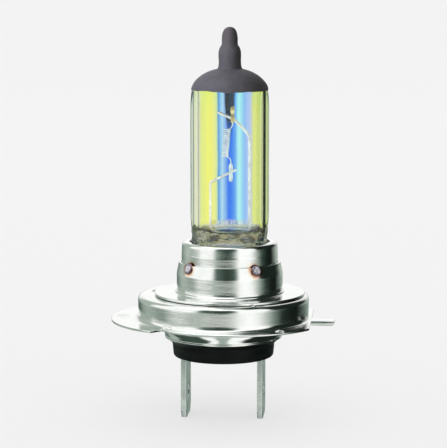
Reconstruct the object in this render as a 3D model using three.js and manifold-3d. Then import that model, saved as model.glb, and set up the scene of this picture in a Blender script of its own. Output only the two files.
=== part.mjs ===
// Headlight bulb with a single axial filament and a prefocus metal base.
// Millimetres, +Z up towards the glass tip. The origin is the centre of the reference plane,
// which is the plane through the tops of the three seating bosses on the base plate.
import * as THREE from 'three';
import { mergeVertices } from 'three/addons/utils/BufferGeometryUtils.js';
import Module from 'manifold-3d';

const wasm = await Module();
wasm.setup();

// ---------------------------------------------------------------- driving dimensions
const SEGMENTS = 32;            // facets round each turned shape
const FIT_GAP = 0.05;           // clearance between static pieces
const NECK_X = 0.9;             // the glass and its sleeves sit off the base axis by the focusing offset

const GLASS_R = 5.63;
const BORE_R = 4.56;
const GLASS_FOOT_R = 5.43;
const GLASS_FOOT_Z = 11.9;      // where the round wall turns in towards the press seal
const GLASS_WALL_Z = 14.0;      // the wall has its full radius from here up
const GLASS_BASE_Z = 10.8;      // underside of the round part, on top of the press seal
const GLASS_BASE_R = 4.0;
const SHOULDER_Z = 32.6;        // the dome and its paint start here
const DOME_WAIST_R = 3.75;      // pulls the dome in towards the tip
const DOME_TOP_R = 1.85;
const TIP_NECK_Z = 36.0;
const TIP_R = 1.52;
const TIP_BULGE_Z = 38.2;
const TIP_NIB_R = 1.0;
const TIP_NIB_Z = 39.6;
const TIP_TOP_Z = 41.48;
const COAT_T = 0.1;
const COAT_GAP = 0.02;

const CAVITY_FLOOR_Z = 12.4;
const CAVITY_FLOOR_R = 3.3;
const CAVITY_ROUND = 1.5;       // height of the rounding between floor and wall
const CAVITY_TOP_Z = 34.5;
const SEAL_W = 10.8;            // press seal, along X
const SEAL_T = 3.6;             // press seal, along Y
const SEAL_BOTTOM_Z = 2.7;
const SEAL_TOP_Z = 11.6;

const LEAD_X = 2.8;             // half the spacing of the lead wires, from the neck axis
const LEAD_R = 0.225;
const WIRE_CHANNEL_R = 0.3;
const FOIL_W = 2.0;
const FOIL_T = 0.06;
const FOIL_Y = 0.28;
const FOIL_BOTTOM_Z = 4.7;
const FOIL_TOP_Z = 9.5;

const FILAMENT_X = 0.4;         // coil axis
const COIL_BOTTOM_Z = 22.95;
const COIL_LENGTH = 4.1;        // centred 25.0 above the reference plane
const COIL_R = 0.42;
const COIL_TURNS = 14;
const FILAMENT_WIRE_R = 0.09;
const LOWER_LEG_X = 1.05;
const LOWER_SLEEVE_Z = [19.45, 22.0];
const UPPER_LEG_X = 1.3;
const UPPER_SLEEVE_Z = [27.9, 30.2];
const LEG_SLEEVE_R = 0.32;
const LEG_SLEEVE_BORE_R = 0.15;
const CROSSING_Y = 0.62;        // the leads pass behind the leg sleeves at this distance
const BEND_Y = 0.3;             // how far back a lead has moved at its bend
const SHORT_LEAD_BEND_Z = 18.9;
const SHORT_LEAD_END_Z = 21.5;
const LONG_LEAD_BEND_Z = 26.1;
const LONG_LEAD_END_Z = 29.65;
const LEAD_OVERLAP = 0.7;       // length of each lead that lies on its foil

const SHEET_T = 0.25;
const COLLAR_R = 6.97;
const COLLAR_BOTTOM_Z = 3.9;
const COLLAR_ROLL_R = 1.0;
const COLLAR_ROLL_Z = 9.9;
const CLIP_R = 6.6;
const CLIP_Z = 8.8;
const CLIP_TAB_BOTTOM_Z = 4.4;
const CLIP_TAB_W = 6.0;

const SLEEVE_RIM_R = 7.22;
const SLEEVE_RIM_Z = 7.95;
const SLEEVE_SHOULDER_R = 7.6;
const SLEEVE_SHOULDER_Z = 6.2;
const SLEEVE_FOOT_R = 7.7;
const DISC_R = 10.86;
const DISC_TOP_Z = 3.55;
const DISC_T = 0.35;
const DISC_FILLET = 0.35;
const NECK_WELD_R = 0.72;
const WELD_H = 0.15;
const WELD_DISH_H = 0.07;       // height left in the middle of each weld
const NECK_WELD_Z = 7.5;
const NECK_WELD_SEAT_R = 7.4;   // just outside the sleeve's taper at that height
const NECK_WELD_ANGLES = [-55, 35, 125, 223];   // degrees from +X
const FLANGE_WELD_ANGLES = [-68, 52, 172];
const FLANGE_WELD_R = 0.35;

const RING_R = 12.35;
const RING_T = 0.35;
const RING_TOP_Z = 3.15;
const RING_HOLE_R = 9.0;
const RING_EDGE_R = 0.7;
const PLATE_TOP_Z = -0.3;
const PLATE_T = 0.3;
const PLATE_BOTTOM_Z = PLATE_TOP_Z - PLATE_T;
const PLATE_R = 14.0;
const PLATE_CENTRE_X = 1.2;
const PLATE_FLAT_X = 12.75;     // straight cut behind the key
const OFFCUT = 20;              // anything larger than the plate
const TONGUE_R = 13.4;
const TONGUE_CENTRE_X = -2.85;
const TONGUE_HALF_ANGLE = 52.7; // degrees either side of -X
const NOTCH_END_ANGLE = 59;
const NOTCH_BOTTOM_R = 12.9;
const KEY_END_X = 16.1;
const KEY_W = 2.9;
const KEY_TOP_Z = -0.4;
const KEY_BOTTOM_Z = -1.1;
const KEY_CHAMFER = 0.35;
const BOSS_R = 0.55;
const BOSS_PLACES = [[14.6, 180], [13.75, 50], [13.75, -50]];   // radius and angle on the plate

const BOWL_FLANGE_R = 11.92;
const BOWL_TOP_R = 8.9;
const BOWL_LIP_R = 8.4;
const BOWL_LIP_Z = -3.05;
const BOWL_BEND = 0.4;          // radius of the bends at the flange and at the lip
const INSULATOR_TOP_Z = -0.95;
const INSULATOR_SHOULDER_R = 8.15;
const INSULATOR_R = 7.38;
const INSULATOR_FOOT_R = 7.24;
const INSULATOR_BOTTOM_Z = -5.85;
const INSULATOR_EDGE = 0.25;
const INSULATOR_STEP = 0.9;     // height of the flare under the lip

const BLADE_X = 5.5;
const BLADE_T = 0.8;
const BLADE_W = 6.3;
const BLADE_TIP_Z = -14.7;
const BLADE_CHAMFER = 0.8;
const BLADE_LEAD_IN = 1.28;     // height of the chamfer
const BLADE_HOLE_R = 0.9;
const BLADE_HOLE_Z = -10.95;
const BLADE_TAB_W = 2.6;
const BLADE_TAB_TOP_Z = 0.9;

// ---------------------------------------------------------------- finishes
const finish = (color, roughness, metalness, more = {}) =>
  new THREE.MeshStandardMaterial({ color, roughness, metalness, ...more });

const quartz = finish(0xc9d8ee, 0.05, 0, { transparent: true, opacity: 0.35 });
const coating = finish(0x3c383a, 0.75, 0);
const tungsten = finish(0x8f9096, 0.45, 0.9);
const molybdenum = finish(0xb9bcc2, 0.3, 0.95);
const steel = finish(0xc4c8c6, 0.28, 1);
const weldMetal = finish(0x9a8678, 0.4, 0.9);
const plastic = finish(0x10120f, 0.55, 0);
const tinned = finish(0xa9afb2, 0.35, 1);

// ---------------------------------------------------------------- helpers
const radians = THREE.MathUtils.degToRad;
const onCircle = (r, degrees) =>
  new THREE.Vector2(r * Math.cos(radians(degrees)), r * Math.sin(radians(degrees)));

// A turned solid about +Z. The profile is in (radius, z), with the material on its left.
function turned(points, segments = SEGMENTS) {
  const geometry = new THREE.LatheGeometry(points, segments);
  geometry.rotateX(Math.PI / 2);
  return geometry;
}

function profile(draw, divisions = 6) {
  const path = new THREE.Path();
  draw(path);
  return path.getPoints(divisions);
}

function closedProfile(draw, divisions = 6) {
  const points = profile(draw, divisions);
  points.push(points[0].clone());
  return points;
}

function extruded(shape, bottomZ, topZ, curveSegments = 12) {
  const geometry = new THREE.ExtrudeGeometry(shape, {
    depth: topZ - bottomZ, bevelEnabled: false, curveSegments });
  geometry.translate(0, 0, bottomZ);
  return geometry;
}

function box(minX, maxX, minY, maxY, minZ, maxZ) {
  const geometry = new THREE.BoxGeometry(maxX - minX, maxY - minY, maxZ - minZ);
  geometry.translate((minX + maxX) / 2, (minY + maxY) / 2, (minZ + maxZ) / 2);
  return geometry;
}

function rod(radius, bottomZ, topZ, x = 0, y = 0, segments = 16) {
  const geometry = new THREE.CylinderGeometry(radius, radius, topZ - bottomZ, segments);
  geometry.rotateX(Math.PI / 2);
  geometry.translate(x, y, (bottomZ + topZ) / 2);
  return geometry;
}

function wire(curve, radius, steps, sides = 6) {
  const section = new THREE.Shape();
  for (let i = 0; i < sides; i += 1) {
    const corner = onCircle(radius, (360 * i) / sides);
    if (i === 0) section.moveTo(corner.x, corner.y);
    else section.lineTo(corner.x, corner.y);
  }
  return new THREE.ExtrudeGeometry(section, { extrudePath: curve, steps, bevelEnabled: false });
}

// Three.js geometry to a solid that can be cut and joined.
function solid(geometry) {
  const bare = geometry.clone();
  bare.deleteAttribute('normal');
  bare.deleteAttribute('uv');
  const merged = mergeVertices(bare, 1e-5);
  const index = merged.index.array;
  const kept = [];
  for (let i = 0; i < index.length; i += 3) {
    const [a, b, c] = index.slice(i, i + 3);
    if (a !== b && b !== c && c !== a) kept.push(a, b, c);
  }
  return new wasm.Manifold(new wasm.Mesh({
    numProp: 3,
    vertProperties: new Float32Array(merged.attributes.position.array),
    triVerts: new Uint32Array(kept),
  }));
}

function geometryOf(manifold) {
  const mesh = manifold.getMesh();
  const geometry = new THREE.BufferGeometry();
  geometry.setAttribute('position', new THREE.BufferAttribute(mesh.vertProperties, 3));
  geometry.setIndex(new THREE.BufferAttribute(mesh.triVerts, 1));
  const flat = geometry.toNonIndexed();
  flat.computeVertexNormals();
  return flat;
}

const bulb = new THREE.Group();
const neck = new THREE.Group();
neck.position.x = NECK_X;
bulb.add(neck);

function place(parent, name, geometry, material) {
  const mesh = new THREE.Mesh(geometry, material);
  mesh.name = name;
  parent.add(mesh);
  return mesh;
}

// ---------------------------------------------------------------- glass
// Outer line of the dome and the sealed-off filling tip, from the shoulder to the top.
function domeLine() {
  return profile((path) => {
    path.moveTo(GLASS_R, SHOULDER_Z);
    path.bezierCurveTo(
      GLASS_R - 0.05, SHOULDER_Z + 1.2, DOME_WAIST_R, TIP_NECK_Z - 0.45,
      DOME_TOP_R, TIP_NECK_Z - 0.1);
    path.quadraticCurveTo(TIP_R, TIP_NECK_Z, TIP_R, TIP_NECK_Z + 0.6);
    path.lineTo(TIP_R, TIP_BULGE_Z);
    path.bezierCurveTo(TIP_R, TIP_BULGE_Z + 0.9, TIP_NIB_R, TIP_BULGE_Z + 0.7, TIP_NIB_R, TIP_NIB_Z);
    path.lineTo(TIP_NIB_R, TIP_TOP_Z - TIP_NIB_R);
    path.absarc(0, TIP_TOP_Z - TIP_NIB_R, TIP_NIB_R, 0, Math.PI / 2);
  }, 3);
}

// The same line moved outwards by a distance, with its last point kept on the axis.
function offsetLine(line, distance) {
  return line.map((point, i) => {
    const before = line[Math.max(i - 1, 0)];
    const after = line[Math.min(i + 1, line.length - 1)];
    const along = after.clone().sub(before).normalize();
    const moved = new THREE.Vector2(point.x + along.y * distance, point.y - along.x * distance);
    if (i === line.length - 1) return new THREE.Vector2(0, point.y + distance);
    if (i === 0) return new THREE.Vector2(point.x + distance, point.y);
    return moved;
  });
}

function makeEnvelope() {
  const foot = profile((path) => {
    path.moveTo(0, GLASS_BASE_Z);
    path.lineTo(GLASS_BASE_R, GLASS_BASE_Z + 0.1);
    path.quadraticCurveTo(GLASS_FOOT_R, GLASS_FOOT_Z - 0.9, GLASS_FOOT_R, GLASS_FOOT_Z);
    path.quadraticCurveTo(GLASS_FOOT_R, GLASS_WALL_Z - 0.9, GLASS_R, GLASS_WALL_Z);
  }, 3);
  const shell = solid(turned([...foot, ...domeLine()]));
  const cavity = solid(turned(profile((path) => {
    path.moveTo(0, CAVITY_FLOOR_Z);
    path.lineTo(CAVITY_FLOOR_R, CAVITY_FLOOR_Z);
    path.quadraticCurveTo(BORE_R, CAVITY_FLOOR_Z + 0.1, BORE_R, CAVITY_FLOOR_Z + CAVITY_ROUND);
    path.lineTo(BORE_R, SHOULDER_Z - 0.5);
    path.bezierCurveTo(BORE_R, SHOULDER_Z + 0.8, CAVITY_FLOOR_R, CAVITY_TOP_Z, 0, CAVITY_TOP_Z);
  }, 3)));
  const edge = SEAL_T / 2;
  const outline = new THREE.Shape();
  outline.moveTo(-SEAL_W / 2 + edge, -edge);
  outline.lineTo(SEAL_W / 2 - edge, -edge);
  outline.absarc(SEAL_W / 2 - edge, 0, edge, -Math.PI / 2, Math.PI / 2);
  outline.lineTo(-SEAL_W / 2 + edge, edge);
  outline.absarc(-SEAL_W / 2 + edge, 0, edge, Math.PI / 2, (3 * Math.PI) / 2);
  let glass = shell.add(solid(extruded(outline, SEAL_BOTTOM_Z, SEAL_TOP_Z, 6))).subtract(cavity);
  for (const side of [-1, 1]) {
    const x = side * LEAD_X;
    const channel = solid(rod(WIRE_CHANNEL_R, SEAL_BOTTOM_Z - 1, CAVITY_FLOOR_Z + 1, x));
    const pocket = solid(box(
      x - FOIL_W / 2 - FIT_GAP, x + FOIL_W / 2 + FIT_GAP,
      -WIRE_CHANNEL_R, FOIL_Y + FOIL_T / 2 + FIT_GAP,
      FOIL_BOTTOM_Z - FIT_GAP, FOIL_TOP_Z + FIT_GAP));
    glass = glass.subtract(channel).subtract(pocket);
  }
  return geometryOf(glass);
}

function makeCoat() {
  const inner = offsetLine(domeLine(), COAT_GAP);
  const outer = offsetLine(domeLine(), COAT_GAP + COAT_T);
  return turned([...inner.reverse(), ...outer]);
}

place(neck, 'quartz_envelope', makeEnvelope(), quartz);
place(neck, 'antiglare_coat', makeCoat(), coating);

// ---------------------------------------------------------------- filament and its supports
// Lower leg, coil and upper leg in one run of wire.
class FilamentLine extends THREE.Curve {
  constructor() {
    super();
    this.arcLengthDivisions = 1500;
    const start = FILAMENT_X + COIL_R;
    const coilTop = COIL_BOTTOM_Z + COIL_LENGTH;
    this.lower = new THREE.CubicBezierCurve3(
      new THREE.Vector3(LOWER_LEG_X, 0, LOWER_SLEEVE_Z[0] + 0.2),
      new THREE.Vector3(LOWER_LEG_X, 0, LOWER_SLEEVE_Z[1] + 0.9),
      new THREE.Vector3(start, -0.3, COIL_BOTTOM_Z - 0.15),
      new THREE.Vector3(start, 0, COIL_BOTTOM_Z));
    this.upper = new THREE.CubicBezierCurve3(
      new THREE.Vector3(start, 0, coilTop),
      new THREE.Vector3(start, 0.3, coilTop + 0.15),
      new THREE.Vector3(UPPER_LEG_X, 0, UPPER_SLEEVE_Z[0] - 0.6),
      new THREE.Vector3(UPPER_LEG_X, 0, UPPER_SLEEVE_Z[1] - 0.2));
  }

  getPoint(t, target = new THREE.Vector3()) {
    const legShare = 0.08;
    if (t < legShare) return target.copy(this.lower.getPoint(t / legShare));
    if (t > 1 - legShare) return target.copy(this.upper.getPoint((t - 1 + legShare) / legShare));
    const share = (t - legShare) / (1 - 2 * legShare);
    const angle = 2 * Math.PI * COIL_TURNS * share;
    return target.set(
      FILAMENT_X + COIL_R * Math.cos(angle),
      COIL_R * Math.sin(angle),
      COIL_BOTTOM_Z + COIL_LENGTH * share);
  }
}

place(bulb, 'filament', wire(new FilamentLine(), FILAMENT_WIRE_R, 168, 5), tungsten);

// Small crimped tube with tapered ends, round one leg of the filament.
function legSleeve([bottom, top]) {
  const taper = (top - bottom) * 0.35;
  return turned(closedProfile((path) => {
    path.moveTo(LEG_SLEEVE_BORE_R, bottom);
    path.lineTo(LEG_SLEEVE_BORE_R + 0.05, bottom);
    path.lineTo(LEG_SLEEVE_R, bottom + taper);
    path.lineTo(LEG_SLEEVE_R, top - taper);
    path.lineTo(LEG_SLEEVE_BORE_R + 0.05, top);
    path.lineTo(LEG_SLEEVE_BORE_R, top);
  }), 10);
}

place(bulb, 'leg_sleeve_lower', legSleeve(LOWER_SLEEVE_Z), molybdenum).position.x = LOWER_LEG_X;
place(bulb, 'leg_sleeve_upper', legSleeve(UPPER_SLEEVE_Z), molybdenum).position.x = UPPER_LEG_X;

const shortLeadX = NECK_X - LEAD_X;
const longLeadX = NECK_X + LEAD_X;
const leadBottomZ = FOIL_TOP_Z - LEAD_OVERLAP;

const shortLead = new THREE.CatmullRomCurve3([
  new THREE.Vector3(shortLeadX, 0, leadBottomZ),
  new THREE.Vector3(shortLeadX, 0, 16.0),
  new THREE.Vector3(shortLeadX, 0, SHORT_LEAD_BEND_Z),
  new THREE.Vector3(shortLeadX + 0.55, BEND_Y, SHORT_LEAD_BEND_Z + 0.85),
  new THREE.Vector3(LOWER_LEG_X - 0.6, CROSSING_Y, SHORT_LEAD_END_Z - 0.7),
  new THREE.Vector3(LOWER_LEG_X + 0.9, CROSSING_Y, SHORT_LEAD_END_Z),
], false, 'catmullrom', 0.3);
place(bulb, 'lead_wire_short', wire(shortLead, LEAD_R, 28), molybdenum);

const longLead = new THREE.CatmullRomCurve3([
  new THREE.Vector3(longLeadX, 0, leadBottomZ),
  new THREE.Vector3(longLeadX, 0, 18.0),
  new THREE.Vector3(longLeadX, 0, LONG_LEAD_BEND_Z),
  new THREE.Vector3(longLeadX - 0.95, BEND_Y, LONG_LEAD_BEND_Z + 1.45),
  new THREE.Vector3(UPPER_LEG_X + 0.6, CROSSING_Y, LONG_LEAD_END_Z - 1.3),
  new THREE.Vector3(UPPER_LEG_X - 2.3, CROSSING_Y, LONG_LEAD_END_Z),
], false, 'catmullrom', 0.3);
place(bulb, 'lead_wire_long', wire(longLead, LEAD_R, 36), molybdenum);

// ---------------------------------------------------------------- seal foils and outer leads
const outerLeadTopZ = FOIL_BOTTOM_Z + LEAD_OVERLAP;
const sides = [['left', -1, shortLeadX], ['right', 1, longLeadX]];

for (const [word, side, x] of sides) {
  const foil = box(-FOIL_W / 2, FOIL_W / 2, -FOIL_T / 2, FOIL_T / 2, FOIL_BOTTOM_Z, FOIL_TOP_Z);
  place(bulb, `seal_foil_${word}`, foil, molybdenum).position.set(x, FOIL_Y, 0);
  const weldX = side * (BLADE_X - BLADE_T / 2 - LEAD_R - FIT_GAP);
  const outerLead = new THREE.CatmullRomCurve3([
    new THREE.Vector3(x, 0, outerLeadTopZ),
    new THREE.Vector3(x, 0, SEAL_BOTTOM_Z - 0.3),
    new THREE.Vector3((x + weldX) / 2, 0, 1.3),
    new THREE.Vector3(weldX, 0, 0.6),
    new THREE.Vector3(weldX, 0, -0.6),
  ], false, 'catmullrom', 0.3);
  place(bulb, `outer_lead_${word}`, wire(outerLead, LEAD_R, 20), molybdenum);
}

// ---------------------------------------------------------------- collar, clip and focusing sleeve
function makeCollar() {
  const inner = COLLAR_ROLL_R - SHEET_T;
  const centre = COLLAR_R - COLLAR_ROLL_R;
  const rollEnd = radians(80);
  return turned(closedProfile((path) => {
    path.moveTo(COLLAR_R, COLLAR_BOTTOM_Z);
    path.absarc(centre, COLLAR_ROLL_Z, COLLAR_ROLL_R, 0, rollEnd);
    path.absarc(centre, COLLAR_ROLL_Z, inner, rollEnd, 0, true);
    path.lineTo(COLLAR_R - SHEET_T, COLLAR_BOTTOM_Z);
  }, 3));
}

// Spring plate inside the collar: a disc round the press seal with a leaf on each flat of the seal.
function makeClip() {
  const disc = new THREE.Shape();
  disc.absarc(0, 0, CLIP_R, 0, 2 * Math.PI);
  const clearW = SEAL_W / 2 + FIT_GAP;
  const clearT = SEAL_T / 2 + FIT_GAP;
  const opening = solid(box(-clearW, clearW, -clearT, clearT, CLIP_Z - 1, CLIP_Z + 1));
  let clip = solid(extruded(disc, CLIP_Z, CLIP_Z + SHEET_T, 20)).subtract(opening);
  for (const side of [-1, 1]) {
    const near = side * clearT;
    const far = side * (clearT + SHEET_T);
    clip = clip.add(solid(box(
      -CLIP_TAB_W / 2, CLIP_TAB_W / 2, Math.min(near, far), Math.max(near, far),
      CLIP_TAB_BOTTOM_Z, CLIP_Z + SHEET_T)));
  }
  return geometryOf(clip);
}

function makeSleeve() {
  const discBottom = DISC_TOP_Z - DISC_T;
  return turned(closedProfile((path) => {
    path.moveTo(SLEEVE_FOOT_R - SHEET_T, discBottom);
    path.lineTo(DISC_R, discBottom);
    path.lineTo(DISC_R, DISC_TOP_Z - 0.1);
    path.lineTo(DISC_R - 0.1, DISC_TOP_Z);
    path.absarc(
      SLEEVE_FOOT_R + DISC_FILLET, DISC_TOP_Z + DISC_FILLET, DISC_FILLET,
      -Math.PI / 2, -Math.PI, true);
    path.lineTo(SLEEVE_SHOULDER_R, SLEEVE_SHOULDER_Z);
    path.quadraticCurveTo(
      SLEEVE_SHOULDER_R - 0.05, SLEEVE_SHOULDER_Z + 0.7, SLEEVE_RIM_R, SLEEVE_RIM_Z);
    path.lineTo(COLLAR_R + FIT_GAP, SLEEVE_RIM_Z);
    path.lineTo(SLEEVE_SHOULDER_R - SHEET_T, SLEEVE_SHOULDER_Z);
  }, 3));
}

place(neck, 'collar', makeCollar(), steel);
place(neck, 'press_clip', makeClip(), steel);
place(neck, 'focus_sleeve', makeSleeve(), steel);

// Laser welds between the collar and the sleeve rim: a low button with a dished middle.
function weldButton(radius) {
  return turned(profile((path) => {
    path.moveTo(0, 0);
    path.lineTo(radius, 0);
    path.quadraticCurveTo(radius, WELD_H, radius * 0.72, WELD_H);
    path.quadraticCurveTo(radius * 0.4, WELD_H, 0, WELD_DISH_H);
  }, 2), 12);
}

const weldSlope = Math.atan2(SLEEVE_SHOULDER_R - SLEEVE_RIM_R, SLEEVE_RIM_Z - SLEEVE_SHOULDER_Z);
NECK_WELD_ANGLES.forEach((degrees, i) => {
  const arm = new THREE.Group();
  arm.rotation.z = radians(degrees);
  neck.add(arm);
  const weld = place(arm, `neck_weld_${i + 1}`, weldButton(NECK_WELD_R), weldMetal);
  weld.position.set(NECK_WELD_SEAT_R, 0, NECK_WELD_Z);
  weld.rotation.y = Math.PI / 2 - weldSlope;
});

// Small welds that hold the sleeve's disc to the ring.
FLANGE_WELD_ANGLES.forEach((degrees, i) => {
  const spot = onCircle(DISC_R + FIT_GAP + FLANGE_WELD_R, degrees);
  const weld = place(neck, `flange_weld_${i + 1}`, weldButton(FLANGE_WELD_R), weldMetal);
  weld.position.set(spot.x, spot.y, RING_TOP_Z + FIT_GAP);
});

// ---------------------------------------------------------------- base ring with plate and key
// Angle, about an arc's own centre on the X axis, of its point that lies in a direction from the base axis.
function arcAngle(centreX, radius, degrees) {
  const direction = onCircle(1, degrees);
  const along = centreX * direction.x;
  const reach = along + Math.sqrt(along * along - centreX ** 2 + radius ** 2);
  return Math.atan2(reach * direction.y, reach * direction.x - centreX);
}

function plateOutline() {
  const flat = Math.acos((PLATE_FLAT_X - PLATE_CENTRE_X) / PLATE_R);
  const notchAngle = arcAngle(PLATE_CENTRE_X, PLATE_R, 180 - NOTCH_END_ANGLE);
  const tongueAngle = arcAngle(TONGUE_CENTRE_X, TONGUE_R, 180 - TONGUE_HALF_ANGLE);
  const tongueStart = radians(180 - TONGUE_HALF_ANGLE);
  const notchStart = radians(180 - NOTCH_END_ANGLE);
  const shape = new THREE.Shape();
  shape.absarc(PLATE_CENTRE_X, 0, PLATE_R, flat, notchAngle);
  shape.absarc(0, 0, NOTCH_BOTTOM_R, notchStart, tongueStart);
  shape.absarc(TONGUE_CENTRE_X, 0, TONGUE_R, tongueAngle, 2 * Math.PI - tongueAngle);
  shape.absarc(0, 0, NOTCH_BOTTOM_R, 2 * Math.PI - tongueStart, 2 * Math.PI - notchStart);
  shape.absarc(PLATE_CENTRE_X, 0, PLATE_R, 2 * Math.PI - notchAngle, 2 * Math.PI - flat);
  const hole = new THREE.Path();
  hole.absarc(0, 0, RING_R + 0.2, 0, 2 * Math.PI, true);
  shape.holes.push(hole);
  return shape;
}

function makeBaseRing() {
  const innerR = RING_R - RING_T;
  const wall = turned(closedProfile((path) => {
    path.moveTo(innerR, PLATE_BOTTOM_Z);
    path.lineTo(RING_R + RING_EDGE_R, PLATE_BOTTOM_Z);
    path.lineTo(RING_R + RING_EDGE_R, PLATE_TOP_Z);
    path.absarc(
      RING_R + RING_EDGE_R, PLATE_TOP_Z + RING_EDGE_R, RING_EDGE_R, -Math.PI / 2, -Math.PI, true);
    path.absarc(RING_R - RING_EDGE_R, RING_TOP_Z - RING_EDGE_R, RING_EDGE_R, 0, Math.PI / 2);
    path.lineTo(RING_HOLE_R, RING_TOP_Z);
    path.lineTo(RING_HOLE_R, RING_TOP_Z - RING_T);
    path.absarc(
      RING_R - RING_EDGE_R, RING_TOP_Z - RING_EDGE_R, RING_EDGE_R - RING_T, Math.PI / 2, 0, true);
  }, 3));
  const offcut = box(PLATE_FLAT_X, OFFCUT, -OFFCUT, OFFCUT, PLATE_BOTTOM_Z - 1, RING_TOP_Z - 1);
  const plate = extruded(plateOutline(), PLATE_BOTTOM_Z, PLATE_TOP_Z, 24);
  let ring = solid(wall).add(solid(plate)).subtract(solid(offcut));

  const key = new THREE.Shape();
  key.moveTo(RING_R - RING_T / 2, KEY_BOTTOM_Z);
  key.lineTo(KEY_END_X - KEY_CHAMFER, KEY_BOTTOM_Z);
  key.lineTo(KEY_END_X, KEY_BOTTOM_Z + KEY_CHAMFER);
  key.lineTo(KEY_END_X, KEY_TOP_Z);
  key.lineTo(RING_R - RING_T / 2, KEY_TOP_Z);
  const keySide = extruded(key, -KEY_W / 2, KEY_W / 2);
  keySide.rotateX(Math.PI / 2);
  ring = ring.add(solid(keySide));

  for (const [radius, degrees] of BOSS_PLACES) {
    const spot = onCircle(radius, degrees);
    ring = ring.add(solid(rod(BOSS_R, PLATE_TOP_Z - PLATE_T / 2, 0, spot.x, spot.y, 20)));
  }
  return geometryOf(ring);
}

place(bulb, 'base_ring', makeBaseRing(), steel);

// ---------------------------------------------------------------- retaining bowl and insulator
function makeBowl() {
  const lipOuter = BOWL_LIP_R + 0.12;
  return turned(closedProfile((path) => {
    path.moveTo(BOWL_LIP_R - SHEET_T, BOWL_LIP_Z);
    path.lineTo(lipOuter - 0.05, BOWL_LIP_Z);
    path.quadraticCurveTo(lipOuter + 0.05, BOWL_LIP_Z + 0.15, BOWL_LIP_R, BOWL_LIP_Z + 0.35);
    path.quadraticCurveTo(BOWL_TOP_R, BOWL_LIP_Z + 1.3, BOWL_TOP_R, PLATE_BOTTOM_Z - BOWL_BEND);
    path.quadraticCurveTo(BOWL_TOP_R, PLATE_BOTTOM_Z, BOWL_TOP_R + BOWL_BEND, PLATE_BOTTOM_Z);
    path.lineTo(BOWL_FLANGE_R, PLATE_BOTTOM_Z);
    path.lineTo(BOWL_FLANGE_R, PLATE_TOP_Z);
    path.lineTo(BOWL_TOP_R + 0.1, PLATE_TOP_Z);
    path.quadraticCurveTo(
      BOWL_TOP_R - SHEET_T, PLATE_TOP_Z, BOWL_TOP_R - SHEET_T, PLATE_BOTTOM_Z - BOWL_BEND);
    path.quadraticCurveTo(
      BOWL_TOP_R - SHEET_T, BOWL_LIP_Z + 1.4, BOWL_LIP_R - SHEET_T, BOWL_LIP_Z + 0.35);
  }, 3));
}

function makeInsulator() {
  const insideR = BOWL_LIP_R - SHEET_T - FIT_GAP;
  let insulator = solid(turned(profile((path) => {
    path.moveTo(0, INSULATOR_BOTTOM_Z);
    path.lineTo(INSULATOR_FOOT_R - INSULATOR_EDGE, INSULATOR_BOTTOM_Z);
    path.quadraticCurveTo(
      INSULATOR_FOOT_R, INSULATOR_BOTTOM_Z, INSULATOR_FOOT_R, INSULATOR_BOTTOM_Z + INSULATOR_EDGE);
    path.lineTo(INSULATOR_R, BOWL_LIP_Z - INSULATOR_STEP);
    path.quadraticCurveTo(
      INSULATOR_R + 0.05, BOWL_LIP_Z - INSULATOR_STEP / 2,
      INSULATOR_SHOULDER_R, BOWL_LIP_Z - FIT_GAP);
    path.lineTo(insideR, BOWL_LIP_Z - FIT_GAP);
    path.lineTo(insideR, INSULATOR_TOP_Z);
    path.lineTo(0, INSULATOR_TOP_Z);
  }, 4)));
  for (const side of [-1, 1]) {
    insulator = insulator.subtract(solid(box(
      side * BLADE_X - BLADE_T / 2 - FIT_GAP, side * BLADE_X + BLADE_T / 2 + FIT_GAP,
      -BLADE_W / 2 - FIT_GAP, BLADE_W / 2 + FIT_GAP,
      INSULATOR_BOTTOM_Z - 1, INSULATOR_TOP_Z + 1)));
  }
  return geometryOf(insulator);
}

place(bulb, 'retaining_bowl', makeBowl(), steel);
place(bulb, 'insulator', makeInsulator(), plastic);

// ---------------------------------------------------------------- contact blades
// The blade is drawn in its own plane, width across and length up, and then stood on edge.
function makeBlade() {
  const half = BLADE_W / 2;
  const shoulder = INSULATOR_TOP_Z - 0.1;
  const shape = new THREE.Shape();
  shape.moveTo(-half + BLADE_CHAMFER, BLADE_TIP_Z);
  shape.lineTo(half - BLADE_CHAMFER, BLADE_TIP_Z);
  shape.lineTo(half, BLADE_TIP_Z + BLADE_LEAD_IN);
  shape.lineTo(half, shoulder);
  shape.lineTo(BLADE_TAB_W / 2, shoulder);
  shape.lineTo(BLADE_TAB_W / 2, BLADE_TAB_TOP_Z);
  shape.lineTo(-BLADE_TAB_W / 2, BLADE_TAB_TOP_Z);
  shape.lineTo(-BLADE_TAB_W / 2, shoulder);
  shape.lineTo(-half, shoulder);
  shape.lineTo(-half, BLADE_TIP_Z + BLADE_LEAD_IN);
  const hole = new THREE.Path();
  hole.absarc(0, BLADE_HOLE_Z, BLADE_HOLE_R, 0, 2 * Math.PI, true);
  shape.holes.push(hole);
  const geometry = new THREE.ExtrudeGeometry(shape, {
    depth: BLADE_T, bevelEnabled: false, curveSegments: 12 });
  geometry.translate(0, 0, -BLADE_T / 2);
  geometry.rotateX(Math.PI / 2);
  geometry.rotateZ(Math.PI / 2);
  return geometry;
}

for (const [word, side] of sides) {
  place(bulb, `blade_${word}`, makeBlade(), tinned).position.x = side * BLADE_X;
}

export default bulb;
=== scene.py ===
# Headlight bulb with one axial filament: fine meshes and finishes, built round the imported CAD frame.
# Metres, +Z up towards the glass tip. The glass, collar and sleeve share the neck axis, which stands a
# little off the base axis. Each piece stands for one CAD node and takes its place from that node's box.
from math import acos, asin, atan2, cos, degrees, exp, pi, radians, sin, sqrt, tan

import bmesh
import bpy
import numpy as np
from mathutils import Matrix, Vector, noise


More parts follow.
